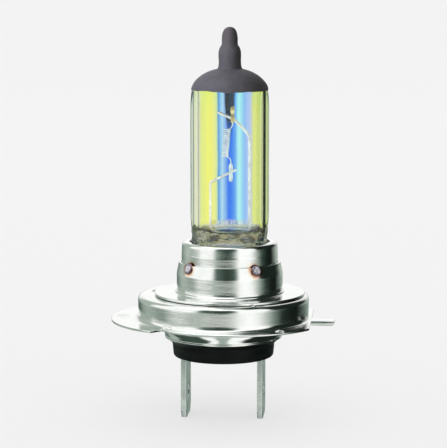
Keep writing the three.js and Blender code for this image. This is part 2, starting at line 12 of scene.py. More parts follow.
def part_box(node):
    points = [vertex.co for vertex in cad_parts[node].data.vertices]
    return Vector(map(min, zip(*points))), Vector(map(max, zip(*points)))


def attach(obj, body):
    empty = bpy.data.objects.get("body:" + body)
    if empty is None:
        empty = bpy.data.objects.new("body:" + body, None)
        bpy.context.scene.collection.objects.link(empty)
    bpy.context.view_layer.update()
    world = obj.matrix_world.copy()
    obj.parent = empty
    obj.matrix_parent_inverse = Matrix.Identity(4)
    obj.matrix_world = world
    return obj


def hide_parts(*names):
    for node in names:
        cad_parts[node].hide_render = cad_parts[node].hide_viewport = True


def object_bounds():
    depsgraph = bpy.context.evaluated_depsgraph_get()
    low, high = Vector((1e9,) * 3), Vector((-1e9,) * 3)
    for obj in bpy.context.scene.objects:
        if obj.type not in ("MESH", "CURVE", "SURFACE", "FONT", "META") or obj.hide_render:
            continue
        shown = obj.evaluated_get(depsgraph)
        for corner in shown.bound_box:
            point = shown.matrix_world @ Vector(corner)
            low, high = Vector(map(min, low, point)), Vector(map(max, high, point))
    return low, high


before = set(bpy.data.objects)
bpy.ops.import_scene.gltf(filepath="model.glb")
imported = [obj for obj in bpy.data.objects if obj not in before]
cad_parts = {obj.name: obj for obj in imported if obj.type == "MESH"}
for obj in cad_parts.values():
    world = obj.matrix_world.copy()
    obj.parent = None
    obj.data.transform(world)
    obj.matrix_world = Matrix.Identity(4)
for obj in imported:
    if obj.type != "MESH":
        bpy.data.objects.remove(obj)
cad_low, cad_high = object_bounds()

# ---------------------------------------------------------------- sizes
MM = 0.001
FINE = 192                       # steps round a turned piece
FLAT_STEP = 0.25 * MM            # spacing of points along its straight stretches
VIEW_AZIMUTH = radians(5)   # the camera stands this far round towards +X
VIEW_DISTANCE = 270 * MM
VIEW_RISE = 49.06 * MM           # camera height above the reference plane
AIM_HEIGHT = 13.3 * MM
LENS = 152.04
SENSOR = 36.0

SHEET = 0.25 * MM
WELD_R, WELD_HEIGHT = 0.8 * MM, 0.2 * MM
WELD_SLOPE = radians(20)    # lean of the sleeve's shoulder under the neck welds
WELD_REACH = 1.5 * MM            # how far the heat tint spreads from the middle of a weld
SPOT_R, SPOT_HEIGHT = 0.36 * MM, 0.12 * MM
LEAD_R = 0.2 * MM
COIL_WIRE_R = 0.08 * MM
COIL_Z = (22.95 * MM, 27.05 * MM)
COIL_X = (0.22 * MM, 0.55 * MM)  # middle of the coil at its bottom and its top: it leans a little
COIL_TURNS, STEPS_PER_TURN = 15, 24
SEAL_HEIGHT = 9.7 * MM           # from the foot of the glass to the floor of its cavity
CAP_DEPTH = 1.9 * MM             # how far the cavity reaches above the edge of the paint
BORE_SHARE = 0.81                # bore radius over glass radius


def middle(node):
    low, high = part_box(node)
    return (low + high) / 2


def half_width(node):
    low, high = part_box(node)
    return (high.x - low.x) / 2


def round_sizes(node):
    """Radius, bottom and top of a round piece, in millimetres."""
    low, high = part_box(node)
    return half_width(node) / MM, low.z / MM, high.z / MM


NECK_X = middle("collar").x
GLASS_R = half_width("quartz_envelope")
GLASS_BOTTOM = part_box("quartz_envelope")[0].z
TIP_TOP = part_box("quartz_envelope")[1].z
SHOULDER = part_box("antiglare_coat")[0].z
BORE_R = GLASS_R * BORE_SHARE
FLOOR_OF_CAVITY = GLASS_BOTTOM + SEAL_HEIGHT
TOP_OF_CAVITY = SHOULDER + CAP_DEPTH


# ---------------------------------------------------------------- lines and outlines
LARGEST_SHARE = 0.499            # of a stretch, that the arc at one of its ends may use up
STRAIGHT = radians(89.5)


def corner_arc(before, corner, after, radius, steps):
    """Points of the arc that rounds off one corner, in two or three dimensions."""
    to_before = before - corner
    to_after = after - corner
    longest = LARGEST_SHARE * min(np.linalg.norm(to_before), np.linalg.norm(to_after))
    to_before = to_before / np.linalg.norm(to_before)
    to_after = to_after / np.linalg.norm(to_after)
    half = acos(float(np.clip(np.dot(to_before, to_after), -1, 1))) / 2
    if half > STRAIGHT:
        return [corner]
    reach = min(radius / tan(half), longest)
    radius = reach * tan(half)
    inward = to_before + to_after
    centre = corner + inward / np.linalg.norm(inward) * radius / sin(half)
    start = corner + to_before * reach - centre
    end = corner + to_after * reach - centre
    turn = pi - 2 * half
    points = []
    for i in range(steps + 1):
        share = i / steps
        weight_a = sin((1 - share) * turn) / sin(turn)
        weight_b = sin(share * turn) / sin(turn)
        points.append(centre + weight_a * start + weight_b * end)
    return points


def rounded(corners, closed=False, steps=5, unit=MM):
    """A line through corners given as (coordinates..., rounding), in units, with each corner rounded."""
    points = [np.array(c[:-1], float) * unit for c in corners]
    radii = [c[-1] * unit for c in corners]
    line = []
    count = len(points)
    for i in range(count):
        at_end = not closed and i in (0, count - 1)
        if at_end or radii[i] == 0:
            line.append(points[i])
        else:
            line += corner_arc(points[i - 1], points[i], points[(i + 1) % count], radii[i], steps)
    return np.array(line)


def resampled(line, spacing):
    """The same line with points close together along its straight stretches."""
    points = [line[0]]
    for start, end in zip(line[:-1], line[1:]):
        pieces = max(1, int(np.linalg.norm(end - start) / spacing))
        points += [start + (end - start) * (k + 1) / pieces for k in range(pieces)]
    return np.array(points)


def divided(line, after, parts):
    """The same line with the stretch that follows one of its points cut in equal parts."""
    start, end = line[after], line[after + 1]
    extra = [start + (end - start) * k / parts for k in range(1, parts)]
    return np.concatenate([line[:after + 1], extra, line[after + 1:]])


# ---------------------------------------------------------------- meshes
def piece(name, vertices, faces, material, sharp_above=40):
    mesh = bpy.data.meshes.new(name)
    mesh.from_pydata([tuple(v) for v in vertices], [], faces)
    mesh.validate()
    mesh.update()
    return placed(name, mesh, material, sharp_above)


def linked(name, data):
    obj = bpy.data.objects.new(name, data)
    bpy.context.scene.collection.objects.link(obj)
    return obj


def evaluated(obj):
    """A new mesh of an object as its modifiers or curve settings make it."""
    bpy.context.view_layer.update()
    graph = bpy.context.evaluated_depsgraph_get()
    return bpy.data.meshes.new_from_object(obj.evaluated_get(graph))


def placed(name, mesh, material, sharp_above=40):
    mesh.name = name
    mesh.shade_smooth()
    mesh.set_sharp_from_angle(angle=radians(sharp_above))
    mesh.materials.clear()
    mesh.materials.append(material)
    return linked(name, mesh)


def even_angles(count=FINE):
    return [2 * pi * i / count for i in range(count)]


def revolved(line_at, angles, axis_x=0.0, closed=False):
    """Vertices and faces of a line of (radius, z) points turned about a vertical axis.

    line_at gives the line for an angle, so the outline may change on the way round. An open line
    starts and ends on the axis, and a closed one comes back to its start.
    """
    lines = [np.array(line_at(a)) for a in angles]
    points = len(lines[0])
    vertices, faces = [], []
    for a, line in zip(angles, lines):
        for r, z in line:
            vertices.append((axis_x + r * cos(a), r * sin(a), z))
    turns = len(angles)
    for i in range(turns):
        here, there = i * points, ((i + 1) % turns) * points
        for j in range(points if closed else points - 1):
            k = (j + 1) % points
            corners = [here + j, there + j, there + k, here + k]
            if not closed and j == 0:
                corners = [0, there + 1, here + 1]
            if not closed and j == points - 2:
                corners = [here + j, there + j, points - 1]
            faces.append(corners)
    if closed:
        return vertices, faces
    return without_spare(vertices, faces)


def without_spare(vertices, faces):
    """Leaves out the vertices that no face uses."""
    used = sorted({i for face in faces for i in face})
    place = {old: new for new, old in enumerate(used)}
    return [vertices[i] for i in used], [[place[i] for i in face] for face in faces]


def turned(name, line, material, axis_x=0.0, closed=True, angles=None, sharp_above=40):
    angles = angles or even_angles()
    line = resampled(line, FLAT_STEP)
    return piece(name, *revolved(lambda _: line, angles, axis_x, closed), material, sharp_above)


def joined(parts):
    """One list of vertices and faces from several."""
    vertices, faces = [], []
    for part_vertices, part_faces in parts:
        start = len(vertices)
        vertices += list(part_vertices)
        faces += [[start + i for i in face] for face in part_faces]
    return vertices, faces


def quads(rings, around, first=0):
    """Corners of the faces between rings of points that are numbered one ring after the other."""
    for i in range(rings - 1):
        here, there = first + i * around, first + (i + 1) * around
        for k in range(around):
            n = (k + 1) % around
            yield here + k, here + n, there + n, there + k


def swept(path, radius_at, sides):
    """Vertices and faces of a round wire along a path. radius_at reads the share of its length."""
    path = np.array(path)
    ahead = np.gradient(path, axis=0)
    ahead /= np.linalg.norm(ahead, axis=1)[:, None]
    side = np.cross(ahead[0], (0.0, 1.0, 0.2))
    side /= np.linalg.norm(side)
    vertices = []
    rings = len(path)
    for i in range(rings):
        side = side - ahead[i] * np.dot(side, ahead[i])
        side /= np.linalg.norm(side)
        up = np.cross(ahead[i], side)
        r = radius_at(i / (rings - 1))
        for k in range(sides):
            a = 2 * pi * k / sides
            vertices.append(path[i] + r * (cos(a) * side + sin(a) * up))
    faces = list(quads(rings, sides))
    faces.append(list(reversed(range(sides))))
    faces.append([(rings - 1) * sides + k for k in range(sides)])
    return vertices, faces


WIRE_END = 0.72                  # radius of a wire's end over its own radius


def wire(name, path, radius, material, sides=16):
    """A wire with slightly rounded ends."""
    def radius_at(share):
        end = min(share, 1 - share) * len(path)
        return radius * (WIRE_END + (1 - WIRE_END) * min(1.0, end))
    return piece(name, *swept(path, radius_at, sides), material, 60)


def smoothstep(low, high, value):
    t = min(max((value - low) / (high - low), 0.0), 1.0)
    return t * t * (3 - 2 * t)


def finish(obj, slot, *nodes):
    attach(obj, "root")
    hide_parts(*nodes)


# ---------------------------------------------------------------- shader trees
class Tree:
    """Short calls that build one node tree."""

    def __init__(self, tree):
        self.tree = tree

    def add(self, kind, **settings):
        node = self.tree.nodes.new("ShaderNode" + kind)
        for key, value in settings.items():
            setattr(node, key, value)
        return node

    def feed(self, socket, value):
        if isinstance(value, bpy.types.NodeSocket):
            self.tree.links.new(value, socket)
        else:
            socket.default_value = value

    def fed(self, kind, values, **settings):
        """Outputs of a new node whose first sockets get these values."""
        node = self.add(kind, **settings)
        for socket, value in zip(node.inputs, values):
            self.feed(socket, value)
        return node.outputs

    def maths(self, operation, *values, clamp=False):
        return self.fed("Math", values, operation=operation, use_clamp=clamp)[0]

    def plus(self, a, b):
        return self.maths("ADD", a, b)

    def minus(self, a, b):
        return self.maths("SUBTRACT", a, b)

    def times(self, a, b):
        return self.maths("MULTIPLY", a, b)

    def apart(self, a, b):
        return self.maths("ABSOLUTE", self.minus(a, b))

    def vector(self, operation, *values):
        outputs = self.fed("VectorMath", values, operation=operation)
        return outputs["Value"] if operation in ("LENGTH", "DOT_PRODUCT") else outputs[0]

    def split(self, vector):
        return self.fed("SeparateXYZ", (vector,))

    def join(self, x, y, z):
        return self.fed("CombineXYZ", (x, y, z))[0]

    def step(self, value, low, high, to_low=0.0, to_high=1.0):
        numbers = (value, low, high, to_low, to_high)
        return self.fed("MapRange", numbers, interpolation_type="SMOOTHSTEP")[0]

    def ramp(self, factor, stops):
        node = self.add("ValToRGB")
        elements = node.color_ramp.elements
        for _ in range(len(stops) - 2):
            elements.new(0.5)
        for element, (place, colour) in zip(elements, stops):
            element.position = place
            element.color = (*colour, 1)
        self.feed(node.inputs[0], factor)
        return node.outputs[0]

    def noise(self, vector, scale, detail=3.0, roughness=0.5):
        node = self.add("TexNoise")
        values = {"Vector": vector, "Scale": scale, "Detail": detail, "Roughness": roughness}
        for key, value in values.items():
            self.feed(node.inputs[key], value)
        return node.outputs["Fac"]

    def mix(self, factor, a, b, blend="MIX"):
        node = self.add("Mix", data_type="RGBA", blend_type=blend)
        self.feed(node.inputs[0], factor)
        self.feed(node.inputs[6], (*a, 1) if isinstance(a, tuple) else a)
        self.feed(node.inputs[7], (*b, 1) if isinstance(b, tuple) else b)
        return node.outputs[2]

    def bump(self, height, distance):
        node = self.add("Bump")
        for key, value in {"Distance": distance, "Strength": 1.0, "Height": height}.items():
            self.feed(node.inputs[key], value)
        return node.outputs[0]


class Finish(Tree):
    """A material with one Principled shader. place is the object coordinate in millimetres."""

    def __init__(self, name, **constants):
        self.material = bpy.data.materials.new(name)
        self.material.use_nodes = True
        super().__init__(self.material.node_tree)
        self.shader = self.tree.nodes["Principled BSDF"]
        for key, value in constants.items():
            self.shader.inputs[key.replace("_", " ")].default_value = value
        coordinates = self.add("TexCoord").outputs["Object"]
        self.place = self.vector("MULTIPLY", coordinates, (1000.0, 1000.0, 1000.0))

    def set(self, **sockets):
        for key, value in sockets.items():
            self.feed(self.shader.inputs[key.replace("_", " ")], value)
        return self.material

    def surface(self, colour, rough, height, depth):
        """Feeds colour, roughness and a relief of this depth."""
        return self.set(Base_Color=colour, Roughness=rough, Normal=self.bump(height, depth))

    def stretched(self, *scales):
        return self.vector("MULTIPLY", self.place, scales)

    def from_axis(self, axis_x_mm):
        """Distance from a vertical axis, and the angle round it."""
        x, y, _ = self.split(self.place)
        x = self.minus(x, axis_x_mm)
        radius = self.vector("LENGTH", self.join(x, y, 0.0))
        return radius, self.maths("ARCTAN2", y, x)


def linear(red, green, blue):
    """A linear colour from 8-bit display values."""
    def channel(value):
        value /= 255
        return value / 12.92 if value <= 0.04045 else ((value + 0.055) / 1.055) ** 2.4
    return channel(red), channel(green), channel(blue)


# ---------------------------------------------------------------- finishes
NECK_MM = NECK_X / MM
NECK_WELDS = [f"neck_weld_{i}" for i in range(1, 5)]


def steel(name, axis_mm, line_depth, roughness, tinted=()):
    """Bright drawn sheet with fine lines round its axis, faint stains and heat tint beside the welds."""
    f = Finish(name, Metallic=1.0, IOR=2.4)
    radius, angle = f.from_axis(axis_mm)
    z = f.split(f.place)[2]
    across = f.join(radius, z, f.times(angle, 0.35))
    lines = f.noise(across, 9.0, 4.0, 0.62)
    coarse = f.noise(across, 1.6, 3.0)
    stains = f.noise(f.place, 0.55, 4.0, 0.6)
    specks = f.noise(f.place, 14.0, 2.0)
    colour = f.mix(f.step(stains, 0.35, 0.7), (0.80, 0.825, 0.80), (0.86, 0.87, 0.85))
    colour = f.mix(f.step(lines, 0.62, 0.8, 0.0, 0.35), colour, (0.52, 0.55, 0.53))
    if tinted:
        nearest = None
        for node in tinted:
            away = f.vector("LENGTH", f.vector("SUBTRACT", f.place, tuple(middle(node) / MM)))
            nearest = away if nearest is None else f.maths("MINIMUM", nearest, away)
        ragged = f.plus(nearest, f.times(f.minus(stains, 0.5), 0.9))
        reach = f.maths("DIVIDE", ragged, WELD_REACH / MM, clamp=True)
        tint = f.ramp(reach, [
            (0.0, (0.20, 0.10, 0.07)), (0.5, (0.34, 0.15, 0.10)), (0.62, (0.80, 0.50, 0.36)),
            (0.78, (0.95, 0.86, 0.78)), (1.0, (1.0, 1.0, 1.0))])
        colour = f.mix(1.0, colour, tint, "MULTIPLY")
    rough = f.plus(f.step(stains, 0.3, 0.75, roughness * 0.7, roughness * 1.5),
                   f.step(lines, 0.5, 0.8, 0.0, 0.05))
    height = f.plus(f.times(coarse, 1.6), lines)
    height = f.plus(height, f.times(specks, 0.25))
    return f.surface(colour, rough, height, line_depth)


def weld_metal():
    """Melted button with a dished grey middle, a violet-brown rim and small ripples."""
    f = Finish("weld_metal", Metallic=1.0)
    radius, _ = f.from_axis(0.0)
    grain = f.noise(f.place, 5.5, 4.0, 0.65)
    ragged = f.plus(radius, f.times(f.minus(grain, 0.5), 0.3))
    colour = f.ramp(ragged, [
        (0.0, (0.60, 0.60, 0.50)), (0.3, (0.75, 0.73, 0.80)), (0.52, (0.62, 0.56, 0.66)),
        (0.66, (0.22, 0.16, 0.20)), (0.8, (0.20, 0.09, 0.06))])
    colour = f.mix(f.step(grain, 0.58, 0.72, 0.0, 0.6), colour, (0.30, 0.30, 0.14))
    ripples = f.maths("SINE", f.times(radius, 26.0))
    height = f.plus(f.times(ripples, 0.15), grain)
    rough = f.step(grain, 0.3, 0.7, 0.22, 0.48)
    return f.surface(colour, rough, height, 0.05 * MM)


# Colour of light that has crossed the coated glass, by the angle round from the middle of the view side.
FILM = [
    (-60, (196, 204, 222)), (-51.5, (198, 207, 226)), (-49.8, (208, 216, 206)), (-47.5, (226, 236, 112)),
    (-31, (230, 234, 100)), (-24, (230, 228, 120)), (-19.4, (214, 233, 150)), (-17.4, (86, 144, 206)),
    (-14, (122, 184, 238)), (-11, (172, 214, 253)), (-6.5, (128, 176, 232)), (-1.5, (48, 112, 236)),
    (3.5, (60, 128, 234)), (8.5, (92, 160, 250)), (12, (158, 226, 250)), (15, (166, 238, 236)),
    (18.5, (138, 210, 254)), (23, (126, 174, 250)), (27.5, (168, 192, 242)), (31.5, (178, 192, 230)),
    (35, (204, 212, 176)), (38, (226, 238, 104)), (41.5, (228, 232, 118)), (45.5, (223, 233, 106)),
    (49, (205, 225, 98)), (51, (200, 214, 180)), (60, (180, 194, 182)),
]
EDGE_DARK_REFLECTIONS = [                   # painted dark reflections, thin dark lines along the tube's edges: place across it, half width, shade
    (-0.915, 0.022, (0.12, 0.16, 0.17)), (-0.795, 0.018, (0.20, 0.20, 0.34)),
    (0.870, 0.062, (0.0008, 0.0012, 0.0018)), (0.955, 0.016, (0.25, 0.30, 0.26)),
]
PALE = linear(242, 242, 242)[0]
QUARTZ_IOR = 1.46
GLARE = 0.028                    # light that the tube reflects on top of what crosses it
FAR_GAIN = 0.9                   # how much more of the film the far wall carries than the average
CAP_REFLECTION_Z = (23.5, 28.0)           # where the painted reflection of the cap fades in, in millimetres
CROSSING_LOSS = 0.90             # share of light that gets through both walls untinted
AMBER_AT = (0.43, 11.85)         # middle of the amber ring: across the view and up, in millimetres
AMBER_SIZE = (3.05, 0.42)


def far_angle(seen):
    """Where a ray that meets the tube at this angle from the middle leaves it on the far side."""
    offset_ray = GLASS_R * sin(radians(seen))
    turns = []
    for radius in (GLASS_R, BORE_R):
        share = max(-1.0, min(1.0, offset_ray / radius))
        turns.append(degrees(asin(share) - asin(share / QUARTZ_IOR)))
    return max(-90.0, min(90.0, seen + 2 * (turns[1] - turns[0])))


def quartz():
    """Clear quartz, whose outside carries a thin film in bands that run along the tube."""
    f = Finish("quartz", Roughness=0.0, IOR=QUARTZ_IOR, Transmission_Weight=1.0)
    radius, _ = f.from_axis(NECK_MM)
    x, y, z = f.split(f.place)
    across = f.plus(f.times(f.minus(x, NECK_MM), cos(VIEW_AZIMUTH)),
                    f.times(y, sin(VIEW_AZIMUTH)))
    share = f.maths("DIVIDE", across, GLASS_R / MM)
    share = f.maths("MINIMUM", f.maths("MAXIMUM", share, -1.0), 1.0)
    angle = f.maths("ARCSINE", share)
    place = f.maths("MULTIPLY_ADD", angle, 1 / pi, 0.5)
    streak = f.noise(f.join(f.times(angle, 14.0), 0.0, f.times(z, 0.015)), 2.2, 3.0)
    wander = f.times(f.minus(f.noise(f.join(0.0, 0.0, z), 0.12, 2.0), 0.5), 0.012)
    stops = []
    for seen, colour in FILM:
        shown = [min(1.0, max(0.002, c - GLARE) / PALE / CROSSING_LOSS) for c in linear(*colour)]
        stops.append(((far_angle(seen) + 90) / 180, tuple(shown)))
    colour = f.ramp(f.plus(place, wander), stops)
    colour = f.mix(f.step(streak, 0.42, 0.68, 0.0, 0.1), colour, (0.93, 0.97, 0.80), "MULTIPLY")
    # Painted reflection of the dark cap: the glass just below the shoulder is painted darker and greener.
    cap_reflection_tint = f.step(z, SHOULDER / MM - 4.5, SHOULDER / MM + 0.5, 0.0, 0.3)
    colour = f.mix(cap_reflection_tint, colour, (0.55, 0.95, 0.9), "MULTIPLY")

    # The far wall carries most of the film, so that the parts inside stay clear to see.
    far_share = f.maths("MULTIPLY_ADD", y, FAR_GAIN / (GLASS_R / MM), 1.0)
    colour = f.fed("Gamma", (colour, f.maths("MAXIMUM", far_share, 1 - FAR_GAIN)))[0]
    # Painted dark reflections along the edges of the tube, on the near side only.
    for at, half, shade in EDGE_DARK_REFLECTIONS:
        line = f.step(f.apart(share, at), half * 0.4, half, 1.0, 0.0)
        line = f.times(line, f.step(y, 0.3, -0.6))
        colour = f.mix(line, colour, shade)

    # Dark tongue on the far wall below the cap, widest at the top: a painted reflection of the dark cap.
    width = f.step(z, 24.0, 31.5, 0.25, 0.95)
    away = f.maths("ABSOLUTE", f.plus(across, 0.02))
    tongue = f.step(f.maths("DIVIDE", away, width), 0.75, 1.15, 1.0, 0.0)
    tongue = f.times(tongue, f.step(z, *CAP_REFLECTION_Z))
    tongue = f.times(tongue, f.step(y, 0.0, 1.0))
    colour = f.mix(tongue, colour, (0.00003, 0.0002, 0.0009))

    # Olive, bright and dark swirls painted in the foot, which stand for the surroundings seen through the
    # pressed glass, with an amber ring on the near side.
    low = FLOOR_OF_CAVITY / MM
    swirl = f.noise(f.stretched(1.0, 1.0, 2.0), 1.1, 3.0, 0.55)
    foot_painted_swirls = f.ramp(swirl, [
        (0.34, (0.05, 0.06, 0.02)), (0.42, (0.62, 0.68, 0.28)), (0.455, (0.001, 0.002, 0.001)),
        (0.495, (0.97, 0.99, 0.92)), (0.535, (0.26, 0.30, 0.09)), (0.57, (0.001, 0.002, 0.001)),
        (0.605, (0.99, 1.0, 0.96)), (0.66, (0.20, 0.23, 0.07))])
    colour = f.mix(f.step(z, low + 0.15, low + 0.95, 1.0, 0.0), colour, foot_painted_swirls)
    ring = f.vector("LENGTH", f.join(f.maths("DIVIDE", f.minus(across, AMBER_AT[0]), AMBER_SIZE[0]),
                                     f.maths("DIVIDE", f.minus(z, AMBER_AT[1]), AMBER_SIZE[1]), 0.0))
    ring = f.step(f.apart(ring, 1.0), 0.08, 0.28, 0.5, 0.0)
    ring = f.times(ring, f.step(y, 0.0, -1.0))
    colour = f.mix(ring, colour, (0.62, 0.30, 0.08))

    outside = f.times(f.step(radius, BORE_R / MM + 0.35, BORE_R / MM + 0.6),
                      f.step(z, GLASS_BOTTOM / MM + 6.0, GLASS_BOTTOM / MM + 7.0))
    colour = f.mix(outside, (0.985, 0.99, 0.985), colour)
    waves = f.noise(f.join(x, y, f.times(z, 0.35)), 0.5, 2.0)
    ripples = f.noise(f.stretched(1.0, 1.0, 1.6), 1.5, 3.0)
    ripples = f.times(ripples, f.step(z, low - 0.4, low + 0.8, 14.0, 0.0))
    return f.set(Base_Color=colour, Normal=f.bump(f.plus(waves, ripples), 0.012 * MM))


def paint():
    """Matt heat-proof paint, slightly mottled, with a fine grain, and painted shade that darkens the side
    facing +X.
    """
    f = Finish("antiglare_paint", Specular_IOR_Level=0.35)
    mottle = f.noise(f.place, 0.9, 4.0, 0.6)
    grain = f.noise(f.place, 16.0, 3.0, 0.6)
    z = f.split(f.place)[2]
    colour = f.mix(f.step(mottle, 0.3, 0.7), (0.128, 0.122, 0.148), (0.156, 0.148, 0.178))
    colour = f.mix(f.step(grain, 0.55, 0.75, 0.0, 0.3), colour, (0.20, 0.19, 0.21))
    brown = f.step(z, TIP_TOP / MM - 4.0, TIP_TOP / MM - 1.0, 0.0, 0.35)
    colour = f.mix(brown, colour, (0.14, 0.105, 0.11))
    # Painted shade: the side whose surface faces +X, away from the soft boxes at the left, is painted
    # nearly black.
    towards = f.vector("DOT_PRODUCT", f.add("TexCoord").outputs["Normal"],
                       (cos(VIEW_AZIMUTH), sin(VIEW_AZIMUTH), 0.0))
    colour = f.mix(f.step(towards, -0.5, 0.8, 0.0, 0.9), colour, (0.012, 0.011, 0.010))
    rough = f.step(grain, 0.3, 0.7, 0.55, 0.75)
    height = f.plus(grain, f.times(mottle, 1.5))
    return f.surface(colour, rough, height, 0.03 * MM)


WIRE_GLOW = 0.3                 # painted glow: light that the wires give out, though they are no lamp


def drawn_wire(name, light, dark, roughness):
    """Drawn wire with lengthwise lines, small stains and a painted glow."""
    f = Finish(name, Metallic=1.0)
    lines = f.noise(f.stretched(9.0, 9.0, 0.8), 2.0)
    stains = f.noise(f.place, 1.8, 3.0)
    colour = f.mix(f.step(stains, 0.35, 0.7), light, dark)
    rough = f.step(stains, 0.3, 0.7, roughness * 0.7, roughness * 1.4)
    # Painted glow: the wires give out light in their own colour.
    f.set(Emission_Color=colour, Emission_Strength=f.step(stains, 0.3, 0.7, WIRE_GLOW, WIRE_GLOW * 0.6))
    return f.surface(colour, rough, lines, 0.01 * MM)


def black_plastic():
    """Near-black moulded heat-proof plastic with a fine eroded texture and a soft sheen."""
    f = Finish("insulator_plastic", Specular_IOR_Level=0.12)
    grain = f.noise(f.place, 11.0, 4.0, 0.6)
    flow = f.noise(f.stretched(0.4, 0.4, 1.4), 1.0, 3.0)
    colour = f.mix(f.step(flow, 0.35, 0.7), (0.002, 0.0034, 0.0028), (0.0045, 0.0066, 0.0058))
    rough = f.step(grain, 0.3, 0.7, 0.36, 0.55)
    height = f.plus(grain, f.times(flow, 0.6))
    return f.surface(colour, rough, height, 0.018 * MM)


def tinned_strip():
    """Tin-plated stamped strip: satin, with lines along its length and dull stains."""
    f = Finish("tinned_blade", Metallic=1.0)
    lengthwise = f.noise(f.stretched(6.0, 6.0, 0.5), 2.6, 4.0, 0.6)
    stains = f.noise(f.place, 0.8, 4.0, 0.65)
    colour = f.mix(f.step(stains, 0.35, 0.68), (0.80, 0.86, 0.83), (0.68, 0.73, 0.71))
    colour = f.mix(f.step(lengthwise, 0.6, 0.75, 0.0, 0.3), colour, (0.42, 0.45, 0.44))
    rough = f.step(stains, 0.3, 0.7, 0.2, 0.36)
    height = f.plus(lengthwise, f.times(stains, 0.8))
    return f.surface(colour, rough, height, 0.006 * MM)


SLEEVE_STEEL = steel("steel_neck", NECK_MM, 0.008 * MM, 0.1, NECK_WELDS)
RING_STEEL = steel("steel_base", 0.0, 0.008 * MM, 0.1)
QUARTZ = quartz()
PAINT = paint()
TUNGSTEN = drawn_wire("tungsten", (0.96, 0.97, 0.98), (0.84, 0.86, 0.88), 0.5)
MOLYBDENUM = drawn_wire("molybdenum", (0.97, 0.97, 0.97), (0.86, 0.86, 0.87), 0.38)
GILT = drawn_wire("gilt_molybdenum", (0.96, 0.78, 0.42), (0.50, 0.36, 0.14), 0.3)
WELD_METAL = weld_metal()
PLASTIC = black_plastic()
TINNED = tinned_strip()


# ---------------------------------------------------------------- glass
def bezier(a, b, c, d, steps):
    a, b, c, d = (np.array(point, float) for point in (a, b, c, d))
    shares = [i / steps for i in range(steps + 1)]
    return [(1 - t) ** 3 * a + 3 * t * (1 - t) ** 2 * b + 3 * t * t * (1 - t) * c + t ** 3 * d
            for t in shares]


def dome_line():
    """(radius, z) from the shoulder over the dome and up the filling tip to the axis, in metres."""
    r, z = GLASS_R / MM - 0.2, SHOULDER / MM
    neck, top = z + 3.4, TIP_TOP / MM
    waist = neck - 0.45
    line = bezier((r, z), (r - 0.05, z + 1.2), (3.75, waist - 0.4), (1.85, waist - 0.05), 18)
    line += bezier((1.85, waist - 0.05), (1.6, waist + 0.05), (1.5, waist + 0.3), (1.5, neck + 0.7), 8)[1:]
    line += bezier((1.5, neck + 0.7), (1.54, neck + 1.5), (1.58, neck + 1.9), (1.45, neck + 2.35), 6)[1:]
    line += bezier((1.45, neck + 2.35), (1.3, neck + 2.9), (1.0, neck + 2.75), (1.04, neck + 3.5), 6)[1:]
    line += bezier((1.04, neck + 3.5), (1.1, neck + 4.3), (1.0, top), (0, top), 10)[1:]
    return np.array(line) * MM


def offset(line, distance):
    """The line moved out by a distance, its last point kept on the axis and its first at its height."""
    ahead = np.gradient(line, axis=0)
    ahead /= np.linalg.norm(ahead, axis=1)[:, None]
    moved = line + np.stack([ahead[:, 1], -ahead[:, 0]], axis=1) * distance
    moved[0] = line[0] + (distance, 0)
    moved[-1] = (0, line[-1][1] + distance)
    return moved


def foot_wave(angle, z):
    """Unevenness left by the press jaws on the foot of the glass."""
    ripple = 0.09 * sin(7 * angle + 0.9 * z) + 0.06 * sin(13 * angle - 2.1 * z)
    ripple += 0.16 * noise.noise(Vector((2.2 * cos(angle), 2.2 * sin(angle), 0.9 * z)))
    fade = 1 - smoothstep(FLOOR_OF_CAVITY / MM - 0.3, FLOOR_OF_CAVITY / MM + 1.4, z)
    return ripple * fade


SEAL_GROWS = (9.3, 11.6)         # heights between which the seal becomes round, in millimetres
SEAL_TO_TUBE = [(5.25, 5.40), (1.75, 5.35), (5.0, 2.0)]   # half width, half thickness, squareness


def outer_radius(angle, z):
    """Press seal at the bottom, a flat block with round edges, which grows into the round tube."""
    grown = smoothstep(*SEAL_GROWS, z)
    half_x, half_y, power = (low + (high - low) * grown for low, high in SEAL_TO_TUBE)
    flat = (abs(cos(angle)) / half_x) ** power + (abs(sin(angle)) / half_y) ** power
    radius = flat ** (-1 / power)
    full = smoothstep(FLOOR_OF_CAVITY / MM - 0.3, FLOOR_OF_CAVITY / MM + 2.0, z)
    return radius + (GLASS_R / MM - radius) * full + foot_wave(angle, z)


# Millimetres below the shoulder, and how much narrower the glass is there.
SHOULDER_TAPER = [(3.0, 0.0), (2.0, 0.02), (1.1, 0.07), (0.5, 0.13)]


def envelope():
    foot_z = np.concatenate([[GLASS_BOTTOM / MM] * 2, np.linspace(GLASS_BOTTOM / MM + 0.15, 9.0, 8),
                             np.linspace(9.2, 15.0, 42)])
    dome = dome_line()

    def outside(angle):
        line = [(0, foot_z[0] * MM)]
        line += [(outer_radius(angle, z) * MM * (0.9 if i == 0 else 1.0), z * MM)
                 for i, z in enumerate(foot_z[1:])]
        line += [(GLASS_R - gain * MM, SHOULDER - below * MM) for below, gain in SHOULDER_TAPER]
        return np.array(line + list(dome))

    def inside(angle):
        uneven = 0.12 * noise.noise(Vector((1.3 * cos(angle), 1.3 * sin(angle), 4.0)))
        low = FLOOR_OF_CAVITY / MM
        bore = BORE_R / MM
        shoulder, top = SHOULDER / MM, TOP_OF_CAVITY / MM
        line = [(0, low + 0.25), (1.6, low + 0.2 + uneven * 0.5)]
        line += bezier((2.4, low + 0.1 + uneven), (3.4, low - 0.1 + uneven),
                       (bore, low - 0.1), (bore, low + 1.6), 14)
        line += [(bore, shoulder - 0.6)]
        line += bezier((bore, shoulder - 0.3), (bore, shoulder + 0.9), (3.0, top), (0, top), 16)
        return np.array(line)[::-1] * MM

    angles = even_angles(256)
    parts = [revolved(outside, angles, NECK_X), revolved(inside, angles, NECK_X)]
    obj = piece("envelope_glass", *joined(parts), QUARTZ, 60)
    finish(obj, "quartz", "quartz_envelope")


